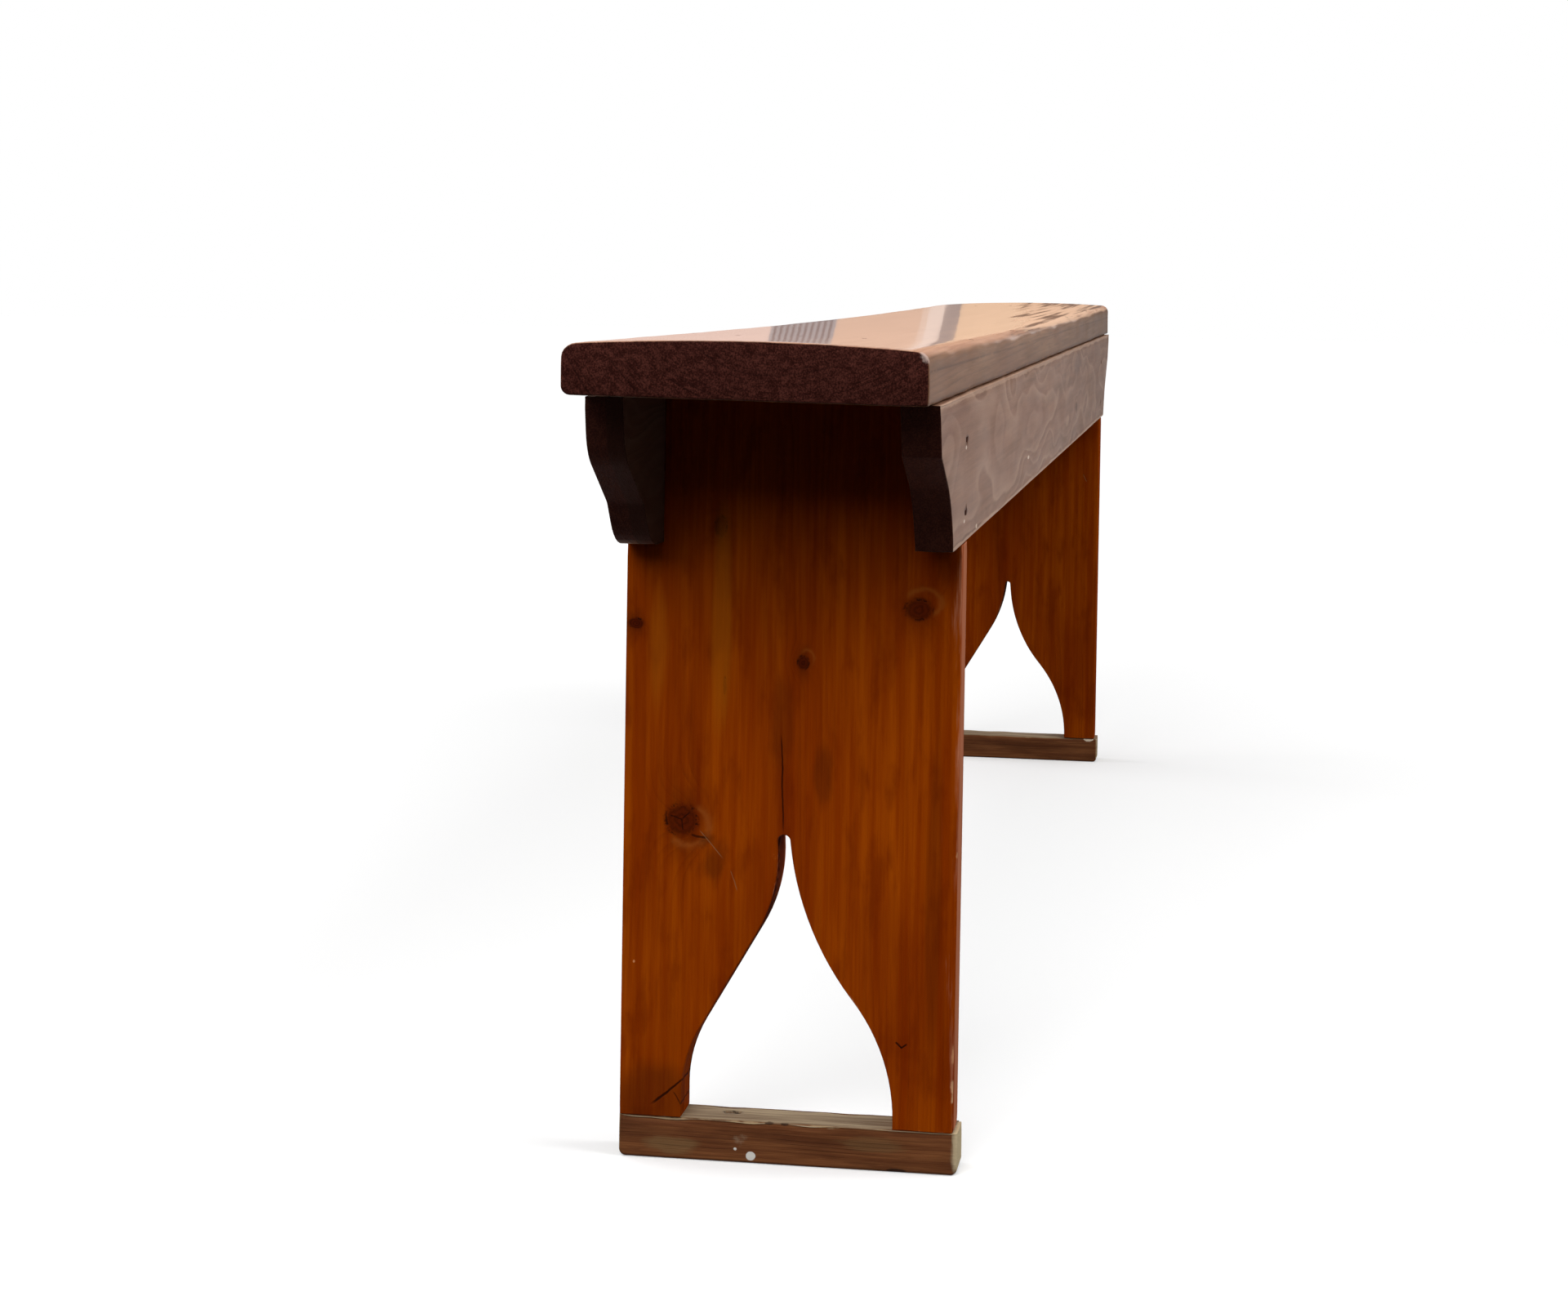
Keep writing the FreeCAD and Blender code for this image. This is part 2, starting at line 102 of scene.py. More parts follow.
bpy.ops.object.camera_add(location=CAMERA_PLACE, rotation=turn.to_euler())
camera = bpy.context.active_object
camera.name = "camera"
camera.data.sensor_width = SENSOR_WIDTH
camera.data.lens = SENSOR_WIDTH * FOCAL_LENGTH_PX / IMAGE_WIDTH
camera.data.shift_y = (OPTICAL_AXIS_HEIGHT_PX - IMAGE_HEIGHT / 2) / IMAGE_WIDTH
camera.data.clip_start = 0.05
bpy.context.scene.camera = camera
print("lens:", round(camera.data.lens, 1), "mm, shift:", round(camera.data.shift_y, 3))

# %% [markdown]
# ## Shader maths in Python
# Wood is all sums: a distance from the heart of the tree, divided by the width of a year's
# ring, plus a wobble. Typed as nodes by hand that would be a web of hundreds of
# Math nodes. Here a small class wraps a socket, so that a Python expression adds the
# nodes, and one method adds any other node.

# %% A socket that can stand in a sum
class Value:
    """One output socket. Sums with it add Math nodes to its material."""

    def __init__(self, graph, socket):
        self.graph = graph
        self.socket = socket

    def __add__(self, other):
        return self.graph.math("ADD", self, other)

    def __radd__(self, other):
        return self.graph.math("ADD", other, self)

    def __sub__(self, other):
        return self.graph.math("SUBTRACT", self, other)

    def __rsub__(self, other):
        return self.graph.math("SUBTRACT", other, self)

    def __mul__(self, other):
        return self.graph.math("MULTIPLY", self, other)

    def __rmul__(self, other):
        return self.graph.math("MULTIPLY", other, self)

    def __truediv__(self, other):
        return self.graph.math("DIVIDE", self, other)

    def __pow__(self, other):
        return self.graph.math("POWER", self, other)


# %% The nodes of one material
class Graph:
    """The nodes of a new material, or of the world if that is given, and the calls that add them."""

    def __init__(self, name, owner=None):
        self.owner = owner or bpy.data.materials.new(name)
        self.owner.use_nodes = True
        self.tree = self.owner.node_tree
        self.tree.nodes.clear()

    def add(self, kind, settings=None, inputs=None, output=0):
        """Adds a node: its settings first, then values or links into its sockets."""
        node = self.tree.nodes.new(kind)
        for key, setting in (settings or {}).items():
            setattr(node, key, setting)
        for key, value in (inputs or {}).items():
            if isinstance(value, Value):
                self.tree.links.new(value.socket, node.inputs[key])
            else:
                node.inputs[key].default_value = value
        return Value(self, node.outputs[output])

    def math(self, operation, *values):
        return self.add("ShaderNodeMath", {"operation": operation}, dict(enumerate(values)))

    def vector(self, operation, *values, output=0):
        return self.add("ShaderNodeVectorMath", {"operation": operation},
                        dict(enumerate(values)), output)

    def split(self, vector):
        """The three parts of a vector, by the names of the axes."""
        node = self.tree.nodes.new("ShaderNodeSeparateXYZ")
        self.tree.links.new(vector.socket, node.inputs[0])
        return {axis: Value(self, node.outputs[axis]) for axis in "XYZ"}

    def combine(self, x, y, z):
        return self.add("ShaderNodeCombineXYZ", inputs={"X": x, "Y": y, "Z": z})

    def ramp(self, value, low, high):
        """Rises smoothly from 0 at low to 1 at high."""
        return self.add("ShaderNodeMapRange", {"interpolation_type": "SMOOTHSTEP"},
                        {"Value": value, "From Min": low, "From Max": high})

    def mix(self, factor, first, second, blend="MIX"):
        """Mixes two colours."""
        return self.add("ShaderNodeMix", {"data_type": "RGBA", "blend_type": blend},
                        {0: factor, 6: first, 7: second}, output=2)

    def noise(self, place, stretch, detail=2.0, roughness=0.5, distortion=0.0):
        """Smooth noise from 0 to 1, whose lumps are as long as stretch along each axis."""
        scaled = self.vector("DIVIDE", place, stretch)
        return self.add("ShaderNodeTexNoise", None,
                        {"Vector": scaled, "Scale": 1.0, "Detail": detail,
                         "Roughness": roughness, "Distortion": distortion}, "Fac")

    def finish(self, shader, output_kind="ShaderNodeOutputMaterial"):
        output = self.tree.nodes.new(output_kind)
        self.tree.links.new(shader.socket, output.inputs["Surface"])
        return self.owner


def colour(red, green, blue):
    """A colour as an eye-dropper reads it, 0 to 255, turned into linear light."""
    linear = []
    for level in (red, green, blue):
        share = level / 255.0
        linear.append(share / 12.92 if share <= 0.04045 else ((share + 0.055) / 1.055) ** 2.4)
    return (*linear, 1.0)


print("shader helpers are ready")

# %% [markdown]
# ## Floor, background and light
# The bench stands on a plain pale floor, in soft light from above and from the front right. A white
# background comes from the world, but only for the camera and for reflections: the
# light that the world really gives is weaker, so that the dark space under the seat stays
# dark. The floor glows a little for the same rays, which makes it as white as the
# background and still lets it hold the bench's shadow. Most of the world's light comes from
# above and little from the horizon, as under an open sky.

# %% Floor and world
FLOOR_SIZE = 40.0
FLOOR_PALE = (0.80, 0.80, 0.80, 1.0)
FLOOR_IN_BOUNCES = (0.014, 0.012, 0.010, 1.0)
GLOW_NEAR = 0.20
GLOW_FAR = 0.56
GLOW_REACH = (0.9, 3.2)
HORIZON_LIGHT = 0.0
ZENITH_LIGHT = 0.85

bpy.ops.object.select_all(action="DESELECT")
bpy.ops.mesh.primitive_plane_add(size=FLOOR_SIZE, location=(0.0, 0.0, 0.0))
floor = bpy.context.active_object
floor.name = "floor"


def seen_directly(graph):
    """1 for a ray from the camera or a reflection, 0 for light that bounces off a surface."""
    camera_ray = graph.add("ShaderNodeLightPath", output="Is Camera Ray")
    glossy_ray = graph.add("ShaderNodeLightPath", output="Is Glossy Ray")
    transmission_ray = graph.add("ShaderNodeLightPath", output="Is Transmission Ray")
    return graph.math("MINIMUM", camera_ray + glossy_ray + transmission_ray, 1.0)


floor_graph = Graph("pale_floor")
seen = seen_directly(floor_graph)
floor_tone = floor_graph.mix(seen, FLOOR_IN_BOUNCES, FLOOR_PALE)
floor_place = floor_graph.add("ShaderNodeTexCoord", output="Object")
floor_distance = floor_graph.vector("LENGTH", floor_place, output="Value")
glow = floor_graph.ramp(floor_distance, *GLOW_REACH) * (GLOW_FAR - GLOW_NEAR) + GLOW_NEAR
glow = glow * seen
floor_glow = floor_graph.combine(glow, glow, glow)
floor_shader = floor_graph.add("ShaderNodeBsdfPrincipled", None, {
    "Base Color": floor_tone, "Roughness": 0.9, "Specular IOR Level": 0.0,
    "Emission Color": floor_glow, "Emission Strength": 1.0}, "BSDF")
floor.data.materials.append(floor_graph.finish(floor_shader))
floor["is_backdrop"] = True

world = bpy.data.worlds.new("studio")
bpy.context.scene.world = world
world_graph = Graph("studio", world)
direction = world_graph.split(world_graph.add("ShaderNodeTexCoord", output="Generated"))
upward = world_graph.math("MAXIMUM", direction["Z"], 0.0)
soft_light = HORIZON_LIGHT + upward * (ZENITH_LIGHT - HORIZON_LIGHT)
sky_level = world_graph.math("MAXIMUM", soft_light, seen_directly(world_graph))
sky = world_graph.add("ShaderNodeBackground", None,
                      {"Color": (1.0, 1.0, 1.0, 1.0), "Strength": sky_level})
world_graph.finish(sky, "ShaderNodeOutputWorld")
print("floor and world are ready")

# %% [markdown]
# A varnished top seen at a glancing angle shows whatever stands behind the bench. In the
# photograph that is a warm bright room, with a narrow upright and something slatted and low in
# front of it. Cards stand in for them, as a product photographer would place them: they show in
# reflections only, not to the camera, and they throw no shadow.

# %% Cards in the reflection
# Each card: name, its left and right pixel columns, its lowest and highest point, how much
# nearer it is than the room, and its tone
CARD_DISTANCE = 6.4
SLATS = 10
SLATS_FROM = 945
SLAT_SPACING_PX = 7.6
SLAT_WIDTH_PX = 3.2
CARDS = [
    ("room_left_card", 560, 1020, 0.0, 2.6, 0.0, (0.93, 0.70, 0.62)),
    ("room_middle_card", 1020, 1126, 0.0, 2.6, 0.0, (0.84, 0.57, 0.43)),
    ("room_edge_card", 1126, 1134, 0.0, 2.6, 0.0, (0.90, 0.67, 0.55)),
    ("room_glow_card", 1134, 1154, 0.0, 2.6, 0.0, (0.98, 0.80, 0.71)),
    ("room_right_card", 1154, 1330, 0.0, 2.6, 0.0, (0.96, 0.66, 0.45)),
    ("upright_card", 1153, 1173, 0.2, 2.4, 0.1, (0.36, 0.31, 0.30)),
    ("low_card", 941, 1021, 0.0, 0.70, 0.1, (0.34, 0.36, 0.40)),
]
for index in range(SLATS):
    column = SLATS_FROM + SLAT_SPACING_PX * index
    CARDS.append((f"slat_card_{index}", column, column + SLAT_WIDTH_PX, 0.0, 0.64, 0.2,
                  (0.07, 0.07, 0.09)))
for name, left, right, low, high, nearer, tone in CARDS:
    sideways = CAMERA_YAW - ((left + right) / 2 - IMAGE_WIDTH / 2) / FOCAL_LENGTH_PX
    away = CARD_DISTANCE - nearer
    place = (CAMERA_PLACE[0] + away * math.cos(sideways),
             CAMERA_PLACE[1] + away * math.sin(sideways), (low + high) / 2)
    bpy.ops.object.select_all(action="DESELECT")
    bpy.ops.mesh.primitive_plane_add(size=1.0, location=place,
                                     rotation=(math.pi / 2, 0.0, sideways - math.pi / 2))
    card = bpy.context.active_object
    card.name = name
    card.scale = (away * (right - left) / FOCAL_LENGTH_PX, high - low, 1.0)
    bpy.ops.object.transform_apply(location=True, rotation=True, scale=True)
    card.visible_camera = False
    card.visible_diffuse = False
    card.visible_shadow = False
    card_graph = Graph(f"{name}_tone")
    card.data.materials.append(card_graph.finish(card_graph.add(
        "ShaderNodeEmission", None, {"Color": (*tone, 1.0)})))
    card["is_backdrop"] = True
print(len(CARDS), "cards for the reflection")

# %% Lamps
# Each lamp: name, place, the point that it faces, width, power in watts
LAMPS = (
    ("key_lamp", (-0.8, -2.4, 2.4), (-0.2, 0.0, 0.3), 2.0, 64.0),
    ("end_lamp", (-3.0, 0.5, 2.1), (-0.75, 0.0, 0.2), 1.8, 52.0),
    ("back_lamp", (0.8, 2.6, 2.2), (0.0, 0.0, 0.3), 2.0, 30.0),
)
for name, place, target, width, power in LAMPS:
    facing = (Vector(target) - Vector(place)).to_track_quat("-Z", "Y").to_euler()
    bpy.ops.object.light_add(type="AREA", location=place, rotation=facing)
    lamp = bpy.context.active_object
    lamp.name = name
    lamp.data.size = width
    lamp.data.energy = power
    print(name, power, "W")
bpy.context.scene.view_settings.view_transform = "Standard"

# %% [markdown]
# ## From construction to board
# The frame's boards have the right outline, but their meshes are loose triangles with knife-sharp
# edges. A board that has been planed, nailed and sat on has soft edges and small hollows. So
# each board is copied, its triangles are merged back into whole faces, its edges are
# bevelled, and it is sliced into a fine even grid, like a loaf. The grid gives wear and
# hollows something to move. Slicing keeps the outline exactly, which a voxel remesh would not.

# %% Selecting and reading a mesh
def select_only(piece):
    bpy.ops.object.select_all(action="DESELECT")
    piece.select_set(True)
    bpy.context.view_layer.objects.active = piece


def spots_of(piece):
    """The places of a mesh's points, one row each."""
    spots = np.empty(len(piece.data.vertices) * 3)
    piece.data.vertices.foreach_get("co", spots)
    return spots.reshape(-1, 3)


def normals_of(piece):
    normals = np.empty(len(piece.data.vertices) * 3)
    piece.data.vertices.foreach_get("normal", normals)
    return normals.reshape(-1, 3)


def move_to(piece, spots):
    piece.data.vertices.foreach_set("co", spots.ravel())
    piece.data.update()


def edge_ends(piece):
    """The two end points of every edge, as two arrays of places."""
    pairs = np.empty(len(piece.data.edges) * 2, dtype=np.int32)
    piece.data.edges.foreach_get("vertices", pairs)
    pairs = pairs.reshape(-1, 2)
    spots = spots_of(piece)
    return spots[pairs[:, 0]], spots[pairs[:, 1]]


def sharp_edges(piece, degrees):
    """A flag for every edge whose two faces turn by more than so many degrees."""
    select_only(piece)
    bpy.ops.object.mode_set(mode="EDIT")
    bpy.ops.mesh.select_mode(type="EDGE")
    bpy.ops.mesh.select_all(action="DESELECT")
    bpy.ops.mesh.edges_select_sharp(sharpness=math.radians(degrees))
    bpy.ops.object.mode_set(mode="OBJECT")
    flags = np.empty(len(piece.data.edges), dtype=bool)
    piece.data.edges.foreach_get("select", flags)
    return flags


# %% Bevelling and slicing
def edit_edges(piece, chosen):
    """Opens a mesh for editing with only the edges selected for which chosen is true."""
    mesh = piece.data
    mesh.vertices.foreach_set("select", np.zeros(len(mesh.vertices), dtype=bool))
    mesh.polygons.foreach_set("select", np.zeros(len(mesh.polygons), dtype=bool))
    mesh.edges.foreach_set("select", chosen)
    select_only(piece)
    bpy.ops.object.mode_set(mode="EDIT")


def bevel_edges(piece, chosen, width, segments):
    edit_edges(piece, chosen)
    bpy.ops.mesh.bevel(offset=width, segments=segments, affect="EDGES", clamp_overlap=True)
    bpy.ops.object.mode_set(mode="OBJECT")


def slice_board(piece, spacing):
    """Cuts a mesh by planes across each axis, about as far apart as spacing says."""
    spots = spots_of(piece)
    low, high = spots.min(axis=0), spots.max(axis=0)
    select_only(piece)
    bpy.ops.object.mode_set(mode="EDIT")
    for axis, gap in enumerate(spacing):
        count = round((high[axis] - low[axis]) / gap)
        for step in range(1, count):
            place = [0.0, 0.0, 0.0]
            facing = [0.0, 0.0, 0.0]
            place[axis] = low[axis] + (high[axis] - low[axis]) * step / count
            facing[axis] = 1.0
            bpy.ops.mesh.select_all(action="SELECT")
            bpy.ops.mesh.bisect(plane_co=place, plane_no=facing)
    bpy.ops.object.mode_set(mode="OBJECT")
    print(piece.name, "has", len(piece.data.polygons), "faces after slicing")


# %% Copying a board
WELD_DISTANCE = 0.01 * MM
FLAT_ANGLE = 0.5


def copy_board(node, name):
    """A copy of one board of the frame, with its flat faces whole again."""
    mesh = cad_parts[node].data.copy()
    mesh.name = name
    mesh.materials.clear()
    piece = bpy.data.objects.new(name, mesh)
    bpy.context.scene.collection.objects.link(piece)
    select_only(piece)
    bpy.ops.object.mode_set(mode="EDIT")
    bpy.ops.mesh.select_all(action="SELECT")
    bpy.ops.mesh.remove_doubles(threshold=WELD_DISTANCE)
    bpy.ops.mesh.dissolve_limited(angle_limit=math.radians(FLAT_ANGLE))
    bpy.ops.object.mode_set(mode="OBJECT")
    print(name, "copied:", len(mesh.polygons), "faces")
    return piece


# %% [markdown]
# ## Wear
# Wear is strongest where an edge sticks out. The edges are noted as a cloud of points
# before they are bevelled. Afterwards each point of the mesh looks up how near it is to
# one, and keeps that as an attribute called arris, 1 on the edge and 0 a few
# millimetres away. The same number moves the mesh inward a little and
# tells the finish where the varnish is rubbed off.

# %% Noting the edges and wearing them down
ARRIS_REACH = 6.0 * MM
NOTE_SPACING = 1.0 * MM


def note_edges(piece, chosen):
    """Points along the chosen edges, close enough together to measure from."""
    first, second = edge_ends(piece)
    notes = []
    for start, end in zip(first[chosen], second[chosen]):
        count = max(2, int(np.linalg.norm(end - start) / NOTE_SPACING) + 1)
        for share in np.linspace(0.0, 1.0, count):
            notes.append(start + (end - start) * share)
    return notes


def mark_arrises(piece, notes):
    """Stores how near each point is to an edge, from 1 on it to 0 out of its reach."""
    tree = KDTree(len(notes))
    for index, spot in enumerate(notes):
        tree.insert(spot, index)
    tree.balance()
    near = np.array([tree.find(vertex.co)[2] for vertex in piece.data.vertices])
    marks = np.clip(1.0 - near / ARRIS_REACH, 0.0, 1.0)
    attribute = piece.data.attributes.new("arris", "FLOAT", "POINT")
    attribute.data.foreach_set("value", marks)
    return marks


def lumps(spots, size, seed):
    """Smooth noise from 0 to 1 at each place, with lumps of about the given size."""
    shift = Vector((seed * 3.7, seed * 1.9, seed * 5.3))
    stretch = Vector(size)
    values = [noise.noise(Vector((x / stretch.x, y / stretch.y, z / stretch.z)) + shift)
              for x, y, z in spots]
    return np.clip(np.array(values) * 0.5 + 0.5, 0.0, 1.0)


def wear_board(piece, marks, edge_depth, face_depth, lump, seed):
    """Rubs the edges down unevenly and leaves faint hollows in the faces, only inward."""
    spots = spots_of(piece)
    normals = normals_of(piece)
    edge_loss = edge_depth * marks ** 2 * lumps(spots, lump, seed) ** 2
    face_loss = face_depth * lumps(spots, [3.0 * length for length in lump], seed + 1)
    move_to(piece, spots - normals * (edge_loss + face_loss)[:, None])


SMOOTH_DEGREES = 32.0


def shade_board(piece):
    """Smooth shading, with the real corners kept."""
    select_only(piece)
    bpy.ops.object.shade_smooth_by_angle(angle=math.radians(SMOOTH_DEGREES))


print("board helpers are ready")

# %% [markdown]
# ## Legs, feet and aprons
# These six boards keep the frame's outline: the ogee arches, the notches and the bracket
# ends. An edge that lies in a board's broad faces is a sawn or planed corner, so it is
# bevelled. The small nail holes in the faces are left sharp. The axis through the
# thickness tells the two apart, and the box of each row of nails says where its holes are.

# %% Finding a board's outline
THROUGH = {"x": 0, "y": 1, "z": 2}
ON_FACE = 0.02 * MM
NAIL_CLEARANCE = 4.0 * MM


def outline_edges(piece, through, nail_nodes, degrees):
    """The sharp edges in the two broad faces, without the edges of nail holes."""
    axis = THROUGH[through]
    spots = spots_of(piece)
    low, high = spots[:, axis].min(), spots[:, axis].max()
    first, second = edge_ends(piece)
    on_low = (abs(first[:, axis] - low) < ON_FACE) & (abs(second[:, axis] - low) < ON_FACE)
    on_high = (abs(first[:, axis] - high) < ON_FACE) & (abs(second[:, axis] - high) < ON_FACE)
    chosen = sharp_edges(piece, degrees) & (on_low | on_high)
    middle = (first + second) / 2
    for node in nail_nodes:
        nail_low, nail_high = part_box(node)
        inside = np.ones(len(middle), dtype=bool)
        for side in range(3):
            inside &= middle[:, side] > nail_low[side] - NAIL_CLEARANCE
            inside &= middle[:, side] < nail_high[side] + NAIL_CLEARANCE
        chosen &= ~inside
    return chosen


def lengthwise_edges(piece, through, degrees):
    """Edges that turn a little and don't run through the board's thickness: its arrises."""
    first, second = edge_ends(piece)
    run = second - first
    crossing = abs(run[:, THROUGH[through]]) > 0.9 * np.linalg.norm(run, axis=1)
    return sharp_edges(piece, degrees) & ~crossing


# %% Making the six boards
# Each board: node, axis through it, bevel, slice spacing, edge loss, lump of wear, nails
SMALL_BEVEL = 0.9 * MM
FOOT_BEVEL = 1.8 * MM
LEG_GRID = (9.5 * MM, 5.0 * MM, 5.0 * MM)
APRON_GRID = (7.0 * MM, 7.0 * MM, 6.0 * MM)
FOOT_GRID = (4.0 * MM, 3.0 * MM, 4.0 * MM)
LEG_LUMP = (20 * MM, 20 * MM, 45 * MM)
APRON_LUMP = (60 * MM, 20 * MM, 20 * MM)
FOOT_LUMP = (10 * MM, 18 * MM, 10 * MM)
APRON_NAILS = {side: [f"{side}_apron_left_nails", f"{side}_apron_right_nails"]
               for side in ("front", "back")}
BOARDS = (
    ("left_leg_board", "x", SMALL_BEVEL, LEG_GRID, 0.9 * MM, LEG_LUMP, []),
    ("right_leg_board", "x", SMALL_BEVEL, LEG_GRID, 0.9 * MM, LEG_LUMP, []),
    ("front_apron", "y", SMALL_BEVEL, APRON_GRID, 0.9 * MM, APRON_LUMP, APRON_NAILS["front"]),
    ("back_apron", "y", SMALL_BEVEL, APRON_GRID, 0.9 * MM, APRON_LUMP, APRON_NAILS["back"]),
    ("left_foot", "x", FOOT_BEVEL, FOOT_GRID, 2.2 * MM, FOOT_LUMP, []),
    ("right_foot", "x", FOOT_BEVEL, FOOT_GRID, 2.2 * MM, FOOT_LUMP, []),
)
FACE_LOSS = 0.25 * MM
CORNER_DEGREES = 30.0
ARRIS_DEGREES = 12.0
boards = {}
for seed, (node, through, bevel, grid, loss, lump, nail_nodes) in enumerate(BOARDS):
    board = copy_board(node, f"{node}_worn")
    edges = outline_edges(board, through, nail_nodes, CORNER_DEGREES)
    notes = note_edges(board, lengthwise_edges(board, through, ARRIS_DEGREES))
    bevel_edges(board, edges, bevel, 3)
    slice_board(board, grid)
    marks = mark_arrises(board, notes)
    wear_board(board, marks, loss, FACE_LOSS, lump, seed)
    shade_board(board)
    boards[node] = board

# %% [markdown]
# ## The seat
# The seat is modelled afresh from a box, because its top is what catches the light: it
# needs long even rows of faces, which triangles from the frame don't give. The frame is
# still the measure. Rays dropped onto its seat give the height of the top at nine places,
# and a smooth surface through those nine follows the dish along the seat and the crown across it.

# %% Measuring the seat's top
seat_low, seat_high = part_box("seat_board")
seat_centre = (seat_low + seat_high) / 2
seat_length, seat_width, seat_height = seat_high - seat_low
PROBE_INSET = 16.0 * MM
probe_x = [seat_low.x + PROBE_INSET, seat_centre.x, seat_high.x - PROBE_INSET]
probe_y = [seat_low.y + PROBE_INSET, seat_centre.y, seat_high.y - PROBE_INSET]


def top_height(x, y):
    """Where a ray dropped from above meets the frame's seat."""
    start = Vector((x, y, seat_high.z + 0.1))
    _, place, _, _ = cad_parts["seat_board"].ray_cast(start, Vector((0.0, 0.0, -1.0)))
    return place.z


heights = np.array([[top_height(x, y) for y in probe_y] for x in probe_x])
print("seat top, left to right and front to back, mm:", (heights * 1000).round(1).tolist())


def parabola_weights(values, knots):
    """How much each of three knots counts at each value, for a parabola through them."""
    a, b, c = knots
    return np.array([
        (values - b) * (values - c) / ((a - b) * (a - c)),
        (values - a) * (values - c) / ((b - a) * (b - c)),
        (values - a) * (values - b) / ((c - a) * (c - b)),
    ])


def seat_top(x, y):
    """The height of the dished and crowned top at many places."""
    return np.einsum("in,jn,ij->n", parabola_weights(x, probe_x), parabola_weights(y, probe_y),
                     heights)


# %% The seat's block and its long roundings
# The widths of the four long roundings, by the corner that they are on
SEAT_ROUNDINGS = {("back", "top"): 8.0 * MM, ("front", "top"): 7.0 * MM,
                  ("back", "bottom"): 5.0 * MM, ("front", "bottom"): 1.5 * MM}
SEAT_BLOCK_TOP = float(heights.mean())

bpy.ops.object.select_all(action="DESELECT")
block_centre = (seat_centre.x, seat_centre.y, (seat_low.z + SEAT_BLOCK_TOP) / 2)
bpy.ops.mesh.primitive_cube_add(size=1.0, location=block_centre)
seat = bpy.context.active_object
seat.name = "seat_board_worn"
seat.scale = (seat_length, seat_width, SEAT_BLOCK_TOP - seat_low.z)
bpy.ops.object.transform_apply(location=True, rotation=True, scale=True)


def runs_along(piece, axis):
    """The edges that are parallel to one axis."""
    first, second = edge_ends(piece)
    run = abs(second - first)
    return run[:, axis] > 0.999 * np.linalg.norm(run, axis=1)


for (side, level), width in SEAT_ROUNDINGS.items():
    first, second = edge_ends(seat)
    side_y = seat_high.y if side == "back" else seat_low.y
    level_z = SEAT_BLOCK_TOP if level == "top" else seat_low.z
    corner = (abs(first[:, 1] - side_y) < ON_FACE) & (abs(first[:, 2] - level_z) < ON_FACE)
    bevel_edges(seat, corner & runs_along(seat, 0), width, 5)
print("seat block:", len(seat.data.vertices), "points")


# %% The seat's fine grid
def divide_edges(piece, chosen, cuts):
    """Cuts the chosen parallel edges, and the faces between them, into equal lengths."""
    edit_edges(piece, chosen)
    bpy.ops.mesh.subdivide(number_cuts=cuts, quadcorner="STRAIGHT_CUT", ngon=False)
    bpy.ops.object.mode_set(mode="OBJECT")


def long_enough(piece, length):
    first, second = edge_ends(piece)
    return np.linalg.norm(second - first, axis=1) > length


END_BEVEL = 1.6 * MM
# How the seat is divided: the axis, the least length of an edge that is cut, and the cuts
ACROSS_CUTS = (1, 50 * MM, 27)
UPRIGHT_CUTS = (2, 8 * MM, 3)
FIRST_LONG_CUTS = (0, 500 * MM, 24)
SECOND_LONG_CUTS = (0, 30 * MM, 17)


def divide_seat(axis, least, cuts):
    divide_edges(seat, runs_along(seat, axis) & long_enough(seat, least), cuts)


divide_seat(*ACROSS_CUTS)
divide_seat(*UPRIGHT_CUTS)
seat_notes = note_edges(seat, runs_along(seat, 0) & sharp_edges(seat, 5.0))
for end_x in (seat_low.x, seat_high.x):
    first, second = edge_ends(seat)
    rim = (abs(first[:, 0] - end_x) < ON_FACE) & (abs(second[:, 0] - end_x) < ON_FACE)
    seat_notes += note_edges(seat, rim)
    bevel_edges(seat, rim & sharp_edges(seat, 60.0), END_BEVEL, 3)
divide_seat(*FIRST_LONG_CUTS)
divide_seat(*SECOND_LONG_CUTS)
print("seat grid:", len(seat.data.polygons), "faces")

# %% [markdown]
# The block is now bent to the measured top. Its underside stays flat on the legs, but the free end
# at the left has cupped: its back corner is a little higher than its front corner. The front
# edge has been slid over for decades, so it is worn into shallow scoops.

# %% Shaping the seat
CUP_LIFT = 2.2 * MM
CUP_START = seat_low.x + 150 * MM
FRONT_SCOOP_DEPTH = 1.5 * MM
FRONT_SCOOP_REACH = 9.0 * MM
SCOOP_LUMP = (70 * MM, 40 * MM, 40 * MM)
SEAT_EDGE_LOSS = 1.0 * MM
SEAT_FACE_LOSS = 0.3 * MM
SEAT_LUMP = (45 * MM, 12 * MM, 12 * MM)

spots = spots_of(seat)
share_up = (spots[:, 2] - seat_low.z) / (SEAT_BLOCK_TOP - seat_low.z)
spots[:, 2] += share_up * (seat_top(spots[:, 0], spots[:, 1]) - SEAT_BLOCK_TOP)
toward_end = np.clip((CUP_START - spots[:, 0]) / (CUP_START - seat_low.x), 0.0, 1.0) ** 2
toward_back = (spots[:, 1] - seat_low.y) / seat_width
spots[:, 2] += CUP_LIFT * toward_end * toward_back * (1.0 - share_up)
move_to(seat, spots)

seat_marks = mark_arrises(seat, seat_notes)
wear_board(seat, seat_marks, SEAT_EDGE_LOSS, SEAT_FACE_LOSS, SEAT_LUMP, 11)
spots = spots_of(seat)
to_corner = np.hypot(spots[:, 1] - seat_low.y, spots[:, 2] - seat_top(spots[:, 0], spots[:, 1]))
scoop = np.clip(1.0 - to_corner / FRONT_SCOOP_REACH, 0.0, 1.0)
scoop *= np.clip(lumps(spots, SCOOP_LUMP, 21) * 2.4 - 0.9, 0.0, 1.0)
spots[:, 1] += FRONT_SCOOP_DEPTH * scoop
spots[:, 2] -= FRONT_SCOOP_DEPTH * scoop
move_to(seat, spots)
print("seat top after shaping:", round(float(spots[:, 2].max()) * 1000, 2), "mm")

